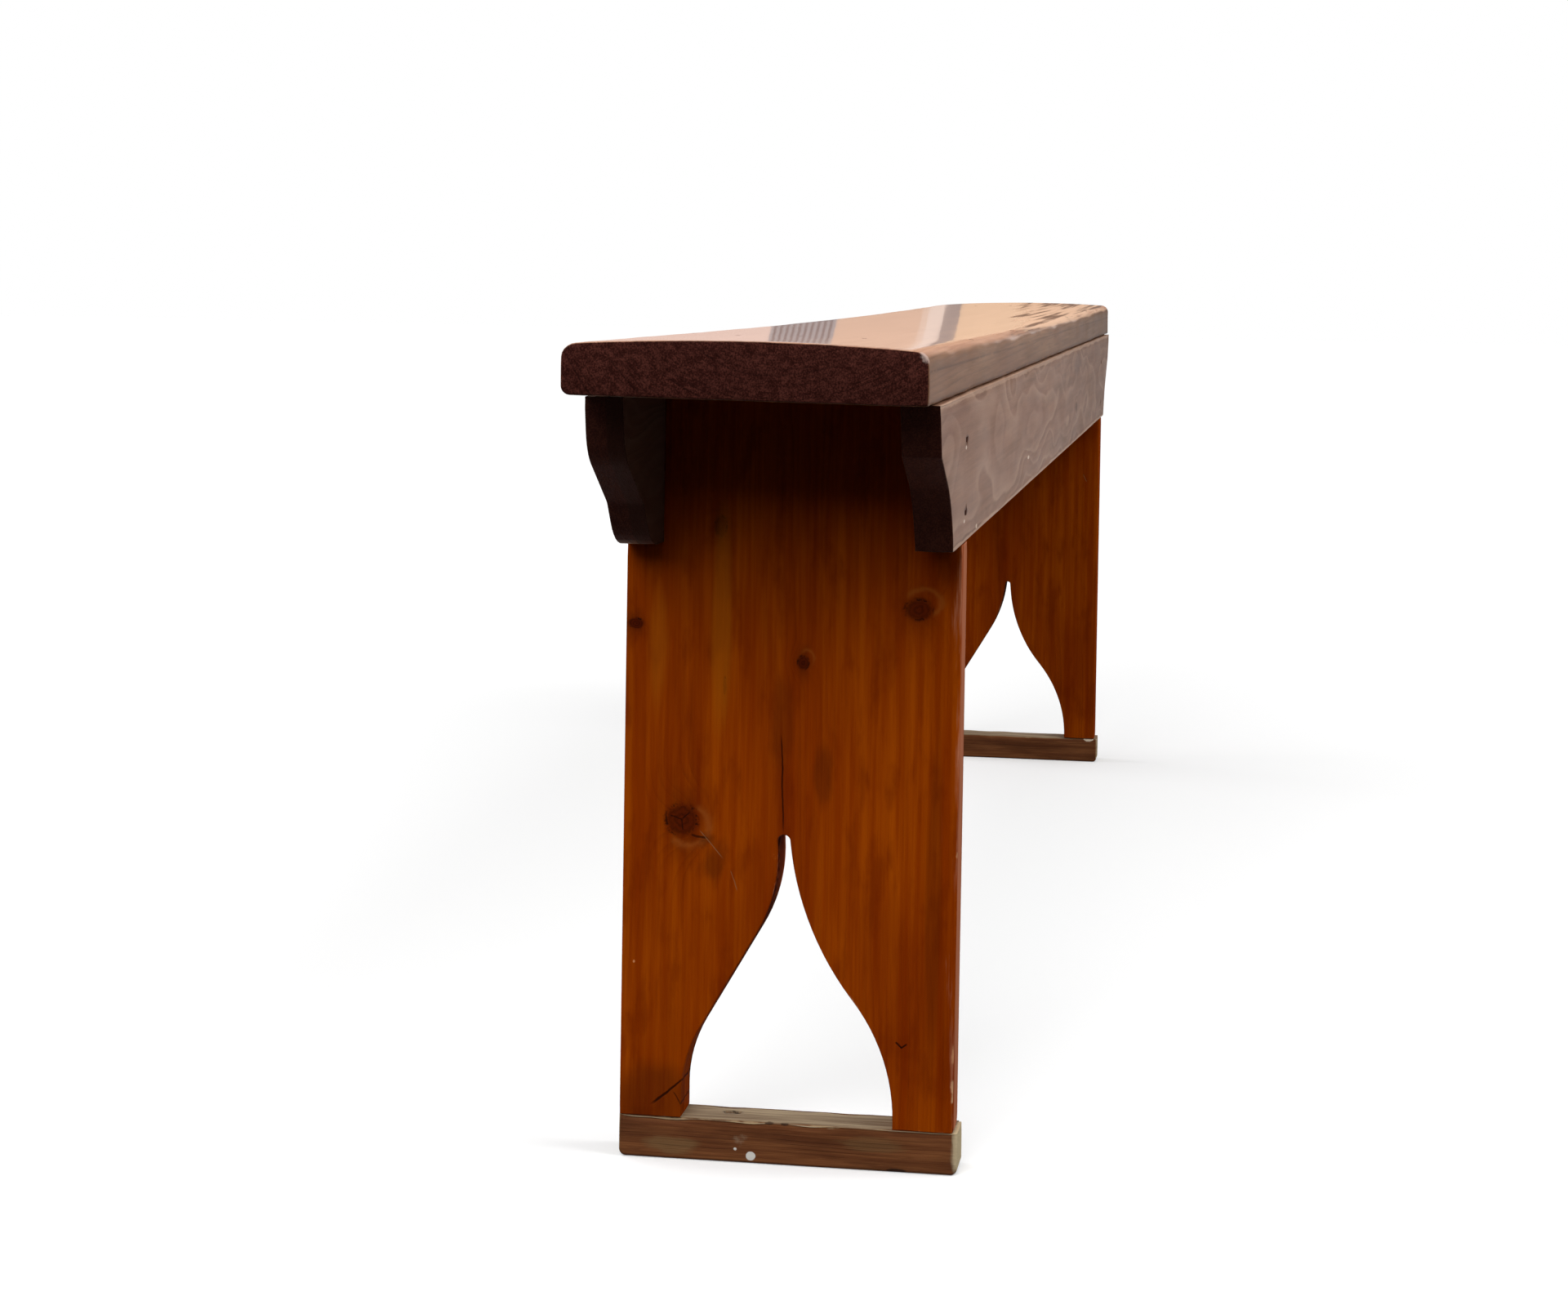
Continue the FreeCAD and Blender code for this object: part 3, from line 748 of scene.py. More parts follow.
# %% [markdown]
# The seat's nails were punched below the surface. Each hole is as wide as the nail's head, so
# a small block is set over every head and cut out of the seat. Both the cutter and the
# Boolean are gone once the hole is made.

# %% Nail holes in the seat
HEAD_REACH = 12.0 * MM
SEAT_NAIL_NODES = ("seat_left_leg_nails", "seat_right_leg_nails",
                   "seat_front_apron_nails", "seat_back_apron_nails")


def nail_heads(node):
    """The middle of each nail's head in a row of nails, found from its highest points."""
    spots = spots_of(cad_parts[node])
    top = spots[spots[:, 2] > spots[:, 2].max() - ON_FACE]
    heads = []
    for spot in top:
        near = top[np.linalg.norm(top - spot, axis=1) < HEAD_REACH]
        head = tuple(near.mean(axis=0).round(5))
        if head not in heads:
            heads.append(head)
    return heads


def cut_out(piece, cutter, solver):
    """Takes the cutter's shape out of a piece. Nothing of the cutter stays."""
    select_only(piece)
    hole = piece.modifiers.new("hole", "BOOLEAN")
    hole.operation = "DIFFERENCE"
    hole.object = cutter
    hole.solver = solver
    bpy.ops.object.modifier_apply(modifier=hole.name)
    bpy.data.objects.remove(cutter)
    shade_board(piece)


HEAD_WIDTH = 6.4 * MM
HEAD_THICKNESS = 2.8 * MM
HOLE_HEIGHT = 20.0 * MM
HOLE_OVERLAP = 0.2 * MM
cutters = []
for node in SEAT_NAIL_NODES:
    for x, y, z in nail_heads(node):
        bpy.ops.object.select_all(action="DESELECT")
        middle = z + HOLE_HEIGHT / 2 - HOLE_OVERLAP
        bpy.ops.mesh.primitive_cube_add(size=1.0, location=(x, y, middle))
        cutter = bpy.context.active_object
        cutter.scale = (HEAD_WIDTH, HEAD_THICKNESS, HOLE_HEIGHT)
        cutters.append(cutter)
bpy.ops.object.select_all(action="DESELECT")
for cutter in cutters:
    cutter.select_set(True)
bpy.context.view_layer.objects.active = cutters[0]
bpy.ops.object.join()
punch = bpy.context.active_object
cut_out(seat, punch, "EXACT")
boards["seat_board"] = seat
print("seat:", len(seat.data.polygons), "faces,", len(cutters), "nail holes")

# %% [markdown]
# The top of the near foot has a small old hole between the two halves of the leg. It is cut
# the same way, with a bevelled block.

# %% The hole in the foot
HOLE_PLACE = (-0.7211, 0.0321)
HOLE_SIZE = (5.0 * MM, 9.4 * MM, 12.0 * MM)
HOLE_BEVEL = 1.2 * MM
foot = boards["left_foot"]
foot_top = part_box("left_foot")[1].z
bpy.ops.object.select_all(action="DESELECT")
bpy.ops.mesh.primitive_cube_add(size=1.0, location=(*HOLE_PLACE, foot_top))
punch = bpy.context.active_object
punch.scale = HOLE_SIZE
bpy.ops.object.transform_apply(location=False, rotation=False, scale=True)
bevel_edges(punch, runs_along(punch, 2), HOLE_BEVEL, 2)
cut_out(foot, punch, "MANIFOLD")
print("foot:", len(foot.data.polygons), "faces with its hole")

# %% [markdown]
# ## Pine
# A board is a slice of a tree, so the grain is worked out inside the wood and not painted on its
# faces. In the board's own directions, along the grain, across it and through it, every point
# has a distance from the tree's heart. That distance divided by the width of a ring gives
# the ring, and the dark late wood is at the end of each ring. The long faces then show lines and
# cathedrals, and the sawn ends show arcs, and they meet at the corners. A knot bends the
# rings round itself. Stain, rubbing and dirt come on top.

# %% Directions of a board
# For the grain of each board: which axis of the scene runs along, across and through it
GRAIN_ALONG_X_FLAT = ("X", "Y", "Z")
GRAIN_ALONG_X_UPRIGHT = ("X", "Z", "Y")
GRAIN_ALONG_Z = ("Z", "Y", "X")
GRAIN_ALONG_Y = ("Y", "Z", "X")


def board_axes(graph, directions, centre, wood):
    """Places in millimetres from the board's centre, and whether a face is end or top."""
    place = graph.add("ShaderNodeTexCoord", output="Object")
    place = graph.vector("SUBTRACT", place, tuple(centre))
    parts = graph.split(place)
    along, across, through = [parts[axis] * 1000.0 for axis in directions]
    facing = graph.split(graph.add("ShaderNodeTexCoord", output="Normal"))
    facing_along = graph.math("ABSOLUTE", facing[directions[0]])
    end = graph.ramp(facing_along, wood["end_from"], wood["end_from"] + 0.3)
    return along, across, through, end, graph.ramp(facing["Z"], 0.40, 0.80)


# %% Knots
class Knot:
    """A knot on a broad face: its place along and across the board, and its half sizes."""

    def __init__(self, along, across, half_along, half_across, push=5.0, dark=1.0, gleam=None):
        self.along = along
        self.across = across
        self.half_along = half_along
        self.half_across = half_across
        self.push = push
        self.dark = dark
        self.gleam = gleam

    def distance(self, graph, place, wobble):
        """1 on the knot's rim, less inside and more outside."""
        offset = graph.vector("SUBTRACT", place, (self.along, self.across, 0.0))
        scaled = graph.vector("DIVIDE", offset, (self.half_along, self.half_across, 1.0e6))
        return graph.vector("LENGTH", scaled, output="Value") + wobble


def near(graph, distance, reach):
    """A soft hump, 1 at a distance of 0 and nearly 0 at twice the reach."""
    return graph.math("POWER", math.e, 0.0 - (distance / reach) ** 2.0)


# %% The rings
def ring_pattern(graph, along, across, through, wood, place):
    """How much a point is late wood: it darkens through each ring and stops at its end."""
    sway = graph.noise(place, wood["sway_length"], detail=1.5)
    drift = graph.noise(graph.vector("ADD", place, (911.0, 377.0, 0.0)), wood["sway_length"], 1.5)
    across_heart = across - wood["heart"][0] + (sway - 0.5) * wood["sway"]
    through_heart = through - wood["heart"][1] + (drift - 0.5) * wood["sway"]
    squared = across_heart ** 2.0 + through_heart ** 2.0
    distance = graph.math("SQRT", squared) + along * wood["taper"]
    for knot in wood["knots"]:
        away = knot.distance(graph, place, 0.0)
        distance = distance + near(graph, away, 2.1) * knot.push
    years = graph.combine(distance, 0.0, 0.0)
    good_years = graph.noise(years, (8.0, 1.0, 1.0), detail=2.0) - 0.5
    count = (distance + good_years * wood["uneven"]) / wood["ring"]
    ring = graph.math("FLOOR", count)
    share = graph.math("FRACT", count)
    own = graph.add("ShaderNodeTexWhiteNoise", {"noise_dimensions": "1D"}, {"W": ring}, "Value")
    late = share ** wood["late_power"] * (1.0 - graph.ramp(share, wood["late_stop"], 1.0))
    return late * (0.35 + 0.9 * own)


# %% [markdown]
# ## Knots in the finish
# Where a branch grew out of the trunk, the board shows a reddish disc with rings of its own. Its
# bark leaves a broken dark rim, the stain gathers above and below it like a flame, and the
# grain next to it catches the light. Each of these is a distance from the knot,
# stretched and made ragged by noise.

# %% One knot
def draw_knot(graph, grain, wood, knot, tint, relief):
    """Adds a knot to the tint and the relief."""
    place = grain["place"]
    ragged = graph.noise(place, (4.5, 4.5, 30.0), detail=3.0, roughness=0.6) - 0.5
    away = knot.distance(graph, place, ragged * 0.8)
    flame = Knot(knot.along, knot.across, knot.half_along * 2.8, knot.half_across * 1.5)
    halo = near(graph, flame.distance(graph, place, ragged * 0.6), 0.8)
    core = 1.0 - graph.ramp(away, 0.60, 1.15)
    rim = near(graph, away - 1.0, 0.16) * graph.ramp(ragged, -0.06, 0.10)
    whorl = graph.math("SINE", away * 15.0) * 0.5 + 0.5
    tint = graph.mix(halo * (0.55 * knot.dark), tint, wood["halo"])
    if knot.gleam:
        offset = graph.vector("SUBTRACT", place, (knot.along, knot.across, 0.0))
        lit = knot.distance(graph, graph.vector("SUBTRACT", place, knot.gleam), ragged * 0.5)
        crescent = near(graph, lit - 1.25, 0.22) * graph.ramp(away, 0.9, 1.3)
        side = graph.vector("DOT_PRODUCT", offset, knot.gleam, output="Value")
        side = graph.ramp(side, 0.0, 24.0)
        tint = graph.mix(crescent * side * 0.38, tint, wood["gleam"])
    tint = graph.mix(core * (0.75 * knot.dark), tint,
                     graph.mix(whorl * 0.5, wood["knot_dark"], wood["knot_light"]))
    tint = graph.mix(rim * (0.8 * knot.dark), tint, wood["knot_rim"])
    return tint, relief - rim * 0.8 - core * 0.2


# %% The whole finish of a board
def pine(name, directions, centre, wood):
    """A material for one board. Wood holds the board's own tree, knots, stain and gloss."""
    graph = Graph(name)
    along, across, through, end, upward = board_axes(graph, directions, centre, wood)
    place = graph.combine(along, across, through)
    arris = graph.add("ShaderNodeAttribute", {"attribute_name": "arris"}, output="Fac")
    late = ring_pattern(graph, along, across, through, wood, place)
    figure = graph.noise(place, wood["figure_length"], detail=2.0)
    plain = wood["figure_floor"]
    late = late * graph.math("MULTIPLY_ADD", graph.ramp(figure, 0.38, 0.62), 1.0 - plain, plain)
    fibre = graph.noise(place, (34.0, 0.55, 0.55), detail=3.0, roughness=0.6)
    streak = graph.noise(place, wood["streak_length"], detail=3.0, roughness=0.6)
    cloud = graph.noise(place, wood["cloud_length"], detail=2.0)
    grain = {"along": along, "across": across, "through": through, "place": place,
             "late": late, "fibre": fibre, "streak": streak, "end": end, "upward": upward,
             "arris": arris, "bare": 0.0}

    tint = graph.mix(graph.ramp(streak, 0.30, 0.72), wood["early_dark"], wood["early_light"])
    tint = graph.mix(graph.ramp(cloud, 0.35, 0.75) * wood["cloud"], tint, wood["cloud_tint"])
    blotch = graph.noise(place, wood["blotch_length"], detail=4.0, roughness=0.6)
    tint = graph.mix(graph.ramp(blotch, 0.48, 0.70) * wood["blotch"], tint, wood["blotch_tint"])
    tint = graph.mix(late * wood["late_strength"], tint, wood["late"])
    fibre_shade = graph.math("MULTIPLY_ADD", fibre, wood["fibre"], 1.0 - wood["fibre"] / 2)
    tint = graph.mix(1.0, tint, graph.combine(fibre_shade, fibre_shade, fibre_shade), "MULTIPLY")
    relief = late * 0.5 + fibre * 0.35
    for knot in wood["knots"]:
        tint, relief = draw_knot(graph, grain, wood, knot, tint, relief)

    speck = graph.noise(place, (2.4, 0.9, 0.9), detail=2.0, roughness=0.7)
    lump = graph.noise(place, (20.0, 6.0, 4.0), detail=3.0, roughness=0.65)
    end_tint = graph.mix(graph.ramp(speck * 0.6 + lump * 0.4, 0.42, 0.62),
                         wood["end_dark"], wood["end_light"])
    end_tint = graph.mix(late * wood["end_late"], end_tint, wood["end_ring"])
    tint = graph.mix(end, tint, end_tint)
    relief = relief + (speck - 0.5) * end
    for mark in wood["marks"]:
        tint, relief = mark(graph, grain, tint, relief)

    patchy = graph.noise(place, wood["rub_length"], detail=3.0, roughness=0.6)
    rubbed = graph.ramp(arris + (patchy - 0.5) * 1.3, wood["rub_from"], wood["rub_from"] + 0.25)
    rubbed = rubbed * wood["rub"] * (1.0 - end)
    tint = graph.mix(rubbed, tint, graph.mix(fibre, wood["raw_dark"], wood["raw_light"]))

    gloss_patch = graph.noise(place, (90.0, 25.0, 25.0), detail=3.0)
    roughness = wood["roughness"] + (gloss_patch - 0.5) * 0.16 + rubbed * 0.25 + end * 0.2
    bump = graph.add("ShaderNodeBump", None, {"Strength": wood["bump"], "Distance": 0.0006,
                                               "Height": relief}, "Normal")
    varnish = upward * wood["coat_above"] + (1.0 - upward) * wood["coat_aside"]
    varnish = varnish * (1.0 - end) * (1.0 - rubbed) * (1.0 - grain["bare"])
    shader = graph.add("ShaderNodeBsdfPrincipled", None, {
        "Base Color": tint, "Roughness": roughness, "Normal": bump,
        "Specular IOR Level": wood["specular"], "Coat Weight": varnish,
        "Coat Roughness": wood["coat_roughness"]}, "BSDF")
    return graph.finish(shader)


print("pine is ready")

# %% [markdown]
# ## Marks of use, and painted light and shade
# A few marks belong to one board only: a crack above the arch, a smudge below a knot, spots
# of paint on a foot. Each is a function of the place on the board that changes the
# tint and the relief, so that it is stained and hollowed together. Some of them also paint
# light and shade into the tint: painted shade under the seat and inside the foot's hole,
# painted shadow along the seat's lower front edge and by the apron's nails, a painted sheen
# on the near leg's front side and painted bounce light in its slot.

# %% Cracks, smudges and spots
def crack(start, end, width, tint_to, bend=2.0, depth=2.0, strength=0.9):
    """A dark split from one place to another, (along, across), with a slight wander."""
    run = (end[0] - start[0], end[1] - start[1])
    length = math.hypot(*run)

    def mark(graph, grain, tint, relief):
        wander = (graph.noise(grain["place"], (12.0, 12.0, 12.0), detail=2.0) - 0.5) * bend
        from_along = grain["along"] - start[0]
        from_across = grain["across"] - start[1]
        down = (from_along * run[0] + from_across * run[1]) / (length * length)
        aside = (from_along * run[1] - from_across * run[0]) / length + wander
        taper = graph.ramp(down, -0.02, 0.12) * (1.0 - graph.ramp(down, 0.8, 1.02))
        line = (1.0 - graph.ramp(graph.math("ABSOLUTE", aside), width * 0.3, width)) * taper
        return graph.mix(line * strength, tint, tint_to), relief - line * depth

    return mark


def stain_and_shade_patch(centre, half, tint_to, strength, ragged=0.5, side=0.0, soft=0.55):
    """A stain or a spot, and in some places painted shade. Side picks one broad face by its sign, and
    0 is both.
    """
    def mark(graph, grain, tint, relief):
        spot = Knot(centre[0], centre[1], half[0], half[1])
        edge = graph.noise(grain["place"], (half[0], half[1], 20.0), detail=3.0)
        away = spot.distance(graph, grain["place"], (edge - 0.5) * ragged)
        cover = (1.0 - graph.ramp(away, 1.0 - soft, 1.0)) * strength
        if side:
            cover = cover * graph.ramp(grain["through"] * side, 0.0, 2.0)
        return graph.mix(cover, tint, tint_to), relief

    return mark


def upper_face(dark, light, late_tint, late_strength):
    """The upward face of a board, with tints of its own over the same grain."""
    def mark(graph, grain, tint, relief):
        top = graph.mix(graph.ramp(grain["streak"], 0.30, 0.72), dark, light)
        top = graph.mix(grain["late"] * late_strength, top, late_tint)
        shade = graph.math("MULTIPLY_ADD", grain["fibre"], 0.2, 0.9)
        top = graph.mix(1.0, top, graph.combine(shade, shade, shade), "MULTIPLY")
        return graph.mix(grain["upward"], tint, top), relief

    return mark


def wear_and_painted_light_spot(place_at, reach, tint_to, strength):
    """A spot of another tint at a place (along, across, through): corners knocked bare and dark spots,
    and also painted bounce light in a leg's slot and painted shade inside the foot's hole. Reach is
    three half sizes.
    """
    def mark(graph, grain, tint, relief):
        offset = graph.vector("SUBTRACT", grain["place"], place_at)
        offset = graph.vector("DIVIDE", offset, reach)
        ragged = graph.noise(grain["place"], (4.0, 4.0, 4.0), detail=3.0, roughness=0.7) - 0.5
        away = graph.vector("LENGTH", offset, output="Value") + ragged * 1.4
        cover = (1.0 - graph.ramp(away, 0.5, 1.0)) * strength
        return graph.mix(cover, tint, tint_to), relief - cover * 0.4

    return mark


def edge_wear_and_sheen(across, through, reach, tint_to, strength, seed):
    """A pale strip along one long edge, whose width keeps changing: bare wood on the seat and the
    aprons, and a painted sheen on the near leg's front side.
    """
    def mark(graph, grain, tint, relief):
        aside = graph.combine(0.0, grain["across"] - across, grain["through"] - through)
        away = graph.vector("LENGTH", aside, output="Value") / reach
        shifted = graph.vector("ADD", grain["place"], (seed, 0.0, 0.0))
        ragged = graph.noise(shifted, (70.0, 5.0, 5.0), detail=4.0, roughness=0.65) - 0.5
        cover = (1.0 - graph.ramp(away + ragged * 1.6, 0.55, 0.95)) * strength
        cover = cover * (1.0 - grain["end"])
        stripped = 1.0 - graph.ramp(away, 1.2, 2.0)
        grain["bare"] = graph.math("MAXIMUM", grain["bare"], stripped)
        return graph.mix(cover, tint, tint_to), relief - cover * 0.3

    return mark


def line_below(across, level, width, tint_to, strength, above=1.0):
    """A thin uneven dark line near the upper or lower edge of the side at across: dirt below the worn
    top edge, and painted shadow along the lower edge.
    """
    def mark(graph, grain, tint, relief):
        wander = graph.noise(grain["place"], (30.0, 9.0, 9.0), detail=4.0, roughness=0.7) - 0.5
        line = near(graph, grain["arris"] - level + wander * 0.16, width)
        outward = grain["across"] * math.copysign(1.0, across)
        side = graph.ramp(outward, abs(across) - 1.5, abs(across))
        side = side * graph.ramp(grain["through"] * above, 0.0, 2.0)
        cover = line * side * strength * graph.ramp(wander, -0.16, 0.0) * (1.0 - grain["end"])
        return graph.mix(cover, tint, tint_to), relief - cover * 0.5

    return mark


def bare_corner(start, end, pale, streaky):
    """Varnish gone on the top in front of a line from start to end, (along, across)."""
    slope = (end[1] - start[1]) / (end[0] - start[0])

    def mark(graph, grain, tint, relief):
        line = (grain["along"] - start[0]) * slope + start[1]
        ragged = graph.noise(grain["place"], (300.0, 13.0, 13.0), detail=5.0, roughness=0.7) - 0.5
        inside = graph.ramp(line - grain["across"] + ragged * 60.0, 0.0, 8.0) * grain["upward"]
        shifted = graph.vector("ADD", grain["place"], (500.0, 70.0, 0.0))
        lines = graph.noise(shifted, (420.0, 6.5, 6.5), detail=3.0, roughness=0.6)
        bare = graph.mix(graph.ramp(lines, 0.44, 0.60), pale, streaky)
        grain["bare"] = graph.math("MAXIMUM", grain["bare"], inside)
        return graph.mix(inside * 0.9, tint, bare), relief

    return mark


print("marks are ready")

# %% [markdown]
# ## The seven boards' own wood
# Every board has its own tree, so the heart, the ring width and the knots differ. The
# legs are stained orange-brown, the aprons and the seat's sides a darker
# brown. The top of the seat is worn to a mid-brown under varnish, and it is bare and streaky
# only in front of a line near its far end.

# %% Wood of the legs
LEG_WOOD = {
    "heart": (30.0, 46.0), "ring": 2.6, "taper": 0.006, "sway": 17.0,
    "late_power": 3.0, "late_stop": 0.85, "uneven": 9.0,
    "sway_length": (230.0, 50.0, 60.0), "knots": [], "marks": [], "end_from": 0.55,
    "early_dark": colour(144, 54, 1), "early_light": colour(168, 74, 3),
    "late": colour(104, 31, 2), "late_strength": 0.5, "fibre": 0.30,
    "streak_length": (150.0, 5.5, 5.5),
    "cloud": 0.55, "cloud_length": (130.0, 30.0, 30.0), "cloud_tint": colour(118, 36, 2),
    "blotch": 0.5, "blotch_length": (48.0, 15.0, 15.0), "blotch_tint": colour(112, 34, 2),
    "figure_length": (180.0, 34.0, 34.0), "figure_floor": 0.2,
    "knot_dark": colour(62, 17, 4), "knot_light": colour(102, 33, 6),
    "knot_rim": colour(40, 13, 6), "halo": colour(84, 28, 4), "gleam": colour(168, 92, 38),
    "end_dark": colour(92, 36, 16), "end_light": colour(118, 54, 26),
    "end_ring": colour(66, 24, 10), "end_late": 0.5,
    "raw_dark": colour(170, 112, 74), "raw_light": colour(206, 154, 118),
    "rub": 0.7, "rub_from": 1.05, "rub_length": (40.0, 8.0, 8.0),
    "roughness": 0.5, "specular": 0.0, "bump": 0.5,
    "coat_above": 0.1, "coat_aside": 0.02, "coat_roughness": 0.35,
}
LEG_CENTRE_HEIGHT = 230.0


def leg_knot(height, across, *sizes, **look):
    """A knot in a leg board, by its height above the floor."""
    return Knot(height - LEG_CENTRE_HEIGHT, across, *sizes, **look)


def leg_place(height, across):
    return (height - LEG_CENTRE_HEIGHT, across)


LEFT_KNOTS = [
    leg_knot(316.4, -70.9, 6.0, 8.0, push=10.0, dark=1.1, gleam=(4.0, -3.0, 0.0)),
    leg_knot(284.6, -6.5, 4.0, 3.4, push=5.0, dark=1.25, gleam=(2.0, -2.0, 0.0)),
    leg_knot(303.6, 89.2, 3.0, 4.6, push=3.0, dark=1.3),
    leg_knot(193.1, 61.3, 9.0, 9.5, push=10.0, dark=1.15, gleam=(-3.0, -4.0, 0.0)),
    leg_knot(359.8, 41.5, 6.0, 3.6, push=4.0, dark=1.2),
    leg_knot(270.2, 37.8, 5.0, 0.9, push=0.6, dark=0.7),
]
RIGHT_KNOTS = [
    leg_knot(330.0, 34.0, 7.0, 6.0, push=7.0, dark=0.8),
    leg_knot(88.0, 78.0, 5.0, 4.5, push=5.0, dark=0.8),
]
DARK_SPLIT = colour(38, 13, 6)
SCRATCH = colour(150, 104, 70)
LEFT_MARKS = [
    stain_and_shade_patch(leg_place(310.0, 40.0), (75.0, 8.0), colour(182, 96, 12), 0.5, 0.7, -1.0),
    stain_and_shade_patch(leg_place(292.0, 76.0), (44.0, 7.0), colour(176, 92, 14), 0.4, 0.8, -1.0),
    stain_and_shade_patch(leg_place(219.5, -19.0), (24.0, 7.0), colour(92, 34, 6), 0.45, 0.9, -1.0),
    stain_and_shade_patch(leg_place(250.0, 4.0), (34.0, 8.0), colour(92, 34, 6), 0.35, 0.9, -1.0),
    stain_and_shade_patch(leg_place(160.0, -82.0), (120.0, 6.0), colour(96, 34, 5), 0.4, 0.7, -1.0),
    stain_and_shade_patch(leg_place(36.0, 76.0), (26.0, 30.0), colour(74, 28, 8), 0.5, 0.7, -1.0),
    stain_and_shade_patch(leg_place(182.0, 49.0), (6.0, 8.0), colour(62, 22, 8), 0.55, 1.6, -1.0, 0.9),
    stain_and_shade_patch(leg_place(169.0, 43.0), (17.0, 10.0), colour(78, 29, 6), 0.5, 1.6, -1.0, 0.9),
    crack(leg_place(243.7, 5.3), leg_place(186.0, 3.2), 0.55, DARK_SPLIT),
    crack(leg_place(195.5, 68.0), leg_place(193.0, 60.5), 0.5, DARK_SPLIT, 2.0, 1.2, 0.8),
    crack(leg_place(193.5, 61.0), leg_place(198.0, 56.5), 0.5, DARK_SPLIT, 2.0, 1.2, 0.8),
    crack(leg_place(193.5, 61.5), leg_place(187.0, 60.0), 0.5, DARK_SPLIT, 2.0, 1.2, 0.8),
    crack(leg_place(185.0, 56.0), leg_place(183.5, 46.0), 1.0, DARK_SPLIT, 4.0, 1.2, 0.7),
    crack(leg_place(188.0, 51.0), leg_place(172.0, 37.0), 0.45, SCRATCH, 0.5, 0.6, 0.6),
    crack(leg_place(166.0, 33.0), leg_place(154.0, 29.0), 0.45, SCRATCH, 3.0, 0.6, 0.5),
    crack(leg_place(46.0, 58.0), leg_place(30.0, 77.0), 0.8, DARK_SPLIT, 4.0),
    crack(leg_place(38.0, 64.0), leg_place(29.0, 58.0), 0.5, DARK_SPLIT, 3.0, 2.0, 0.6),
    crack(leg_place(73.5, -62.0), leg_place(70.0, -66.0), 0.8, DARK_SPLIT),
    crack(leg_place(70.0, -65.0), leg_place(73.0, -68.5), 0.6, DARK_SPLIT),
    wear_and_painted_light_spot((*leg_place(68.0, -94.8), -14.0), (7.5, 1.4, 2.0), colour(198, 140, 92), 0.8),
    wear_and_painted_light_spot((*leg_place(50.0, -94.8), -14.0), (5.5, 1.8, 2.5), colour(206, 160, 118), 0.9),
    wear_and_painted_light_spot((*leg_place(43.0, -95.0), -14.0), (3.0, 1.6, 2.0), colour(206, 160, 118), 0.9),
    wear_and_painted_light_spot((*leg_place(180.0, -95.0), -13.0), (2.6, 1.6, 2.0), colour(206, 150, 104), 0.8),
    # Painted light: a bright patch on the wall of the leg's narrow slot, standing in for bounce light.
    wear_and_painted_light_spot((*leg_place(168.0, 6.0), 5.0), (30.0, 12.0, 18.0), colour(240, 124, 66), 1.0),
    # Painted sheen: the near leg's narrow front side is tinted pinkish, for the sky that its varnish
    # reflects at a glancing angle.
    edge_wear_and_sheen(-95.2, 1.5, 15.5, colour(204, 140, 110), 0.55, 3.0),
    stain_and_shade_patch(leg_place(111.5, 87.7), (1.0, 0.8), colour(214, 140, 90), 0.9, 0.4, -1.0, 0.4),
]
RIGHT_MARKS = [
    # Painted shade: the top of the far leg, under the seat, is darkened.
    stain_and_shade_patch(leg_place(395.0, -20.0), (60.0, 120.0), colour(84, 28, 4), 0.5, 0.5),
    crack(leg_place(296.0, -79.0), leg_place(288.0, -83.0), 0.6, SCRATCH, 1.0, 0.5, 0.7),
]

# %% Wood of the aprons
APRON_WOOD = {
    **LEG_WOOD,
    "heart": (4.0, 74.0), "ring": 6.0, "taper": 0.012, "sway": 38.0,
    "late_power": 2.0, "late_stop": 0.74, "uneven": 8.0,
    "sway_length": (190.0, 50.0, 60.0), "streak_length": (260.0, 7.0, 7.0), "end_from": 0.12,
    # Partly painted sheen: the greyish ground and the pale late wood stand for the sky that the
    # varnish reflects at a glancing angle, over a darker brown stain.
    "early_dark": colour(110, 76, 56), "early_light": colour(134, 96, 74),
    "late": colour(176, 142, 120), "late_strength": 0.8, "fibre": 0.2,
    "cloud": 0.5, "cloud_length": (240.0, 30.0, 40.0), "cloud_tint": colour(108, 68, 50),
    "blotch": 0.4, "blotch_length": (60.0, 12.0, 12.0), "blotch_tint": colour(146, 106, 84),
    "figure_length": (150.0, 30.0, 30.0), "figure_floor": 0.6,
    "halo": colour(80, 50, 38), "knot_dark": colour(62, 36, 26), "knot_light": colour(96, 62, 46),
    "end_dark": colour(44, 18, 13), "end_light": colour(66, 34, 25),
    "end_ring": colour(28, 10, 7), "end_late": 0.5,
    "raw_dark": colour(176, 140, 116), "raw_light": colour(212, 182, 158),
    "rub": 0.6, "roughness": 0.5, "specular": 0.03, "bump": 0.6,
    "coat_above": 0.1, "coat_aside": 0.06, "coat_roughness": 0.4,
}
FRONT_APRON_KNOTS = [Knot(299.7, -11.0, 9.0, 3.6, push=9.0)]
BACK_APRON_PAINTED_SHADE = [
    # Painted shade: the back apron's inner face, under the seat, is darkened almost to black.
    stain_and_shade_patch((0.0, 0.0), (1300.0, 300.0), colour(34, 15, 9), 0.85, 0.3, -1.0, 0.3),
]
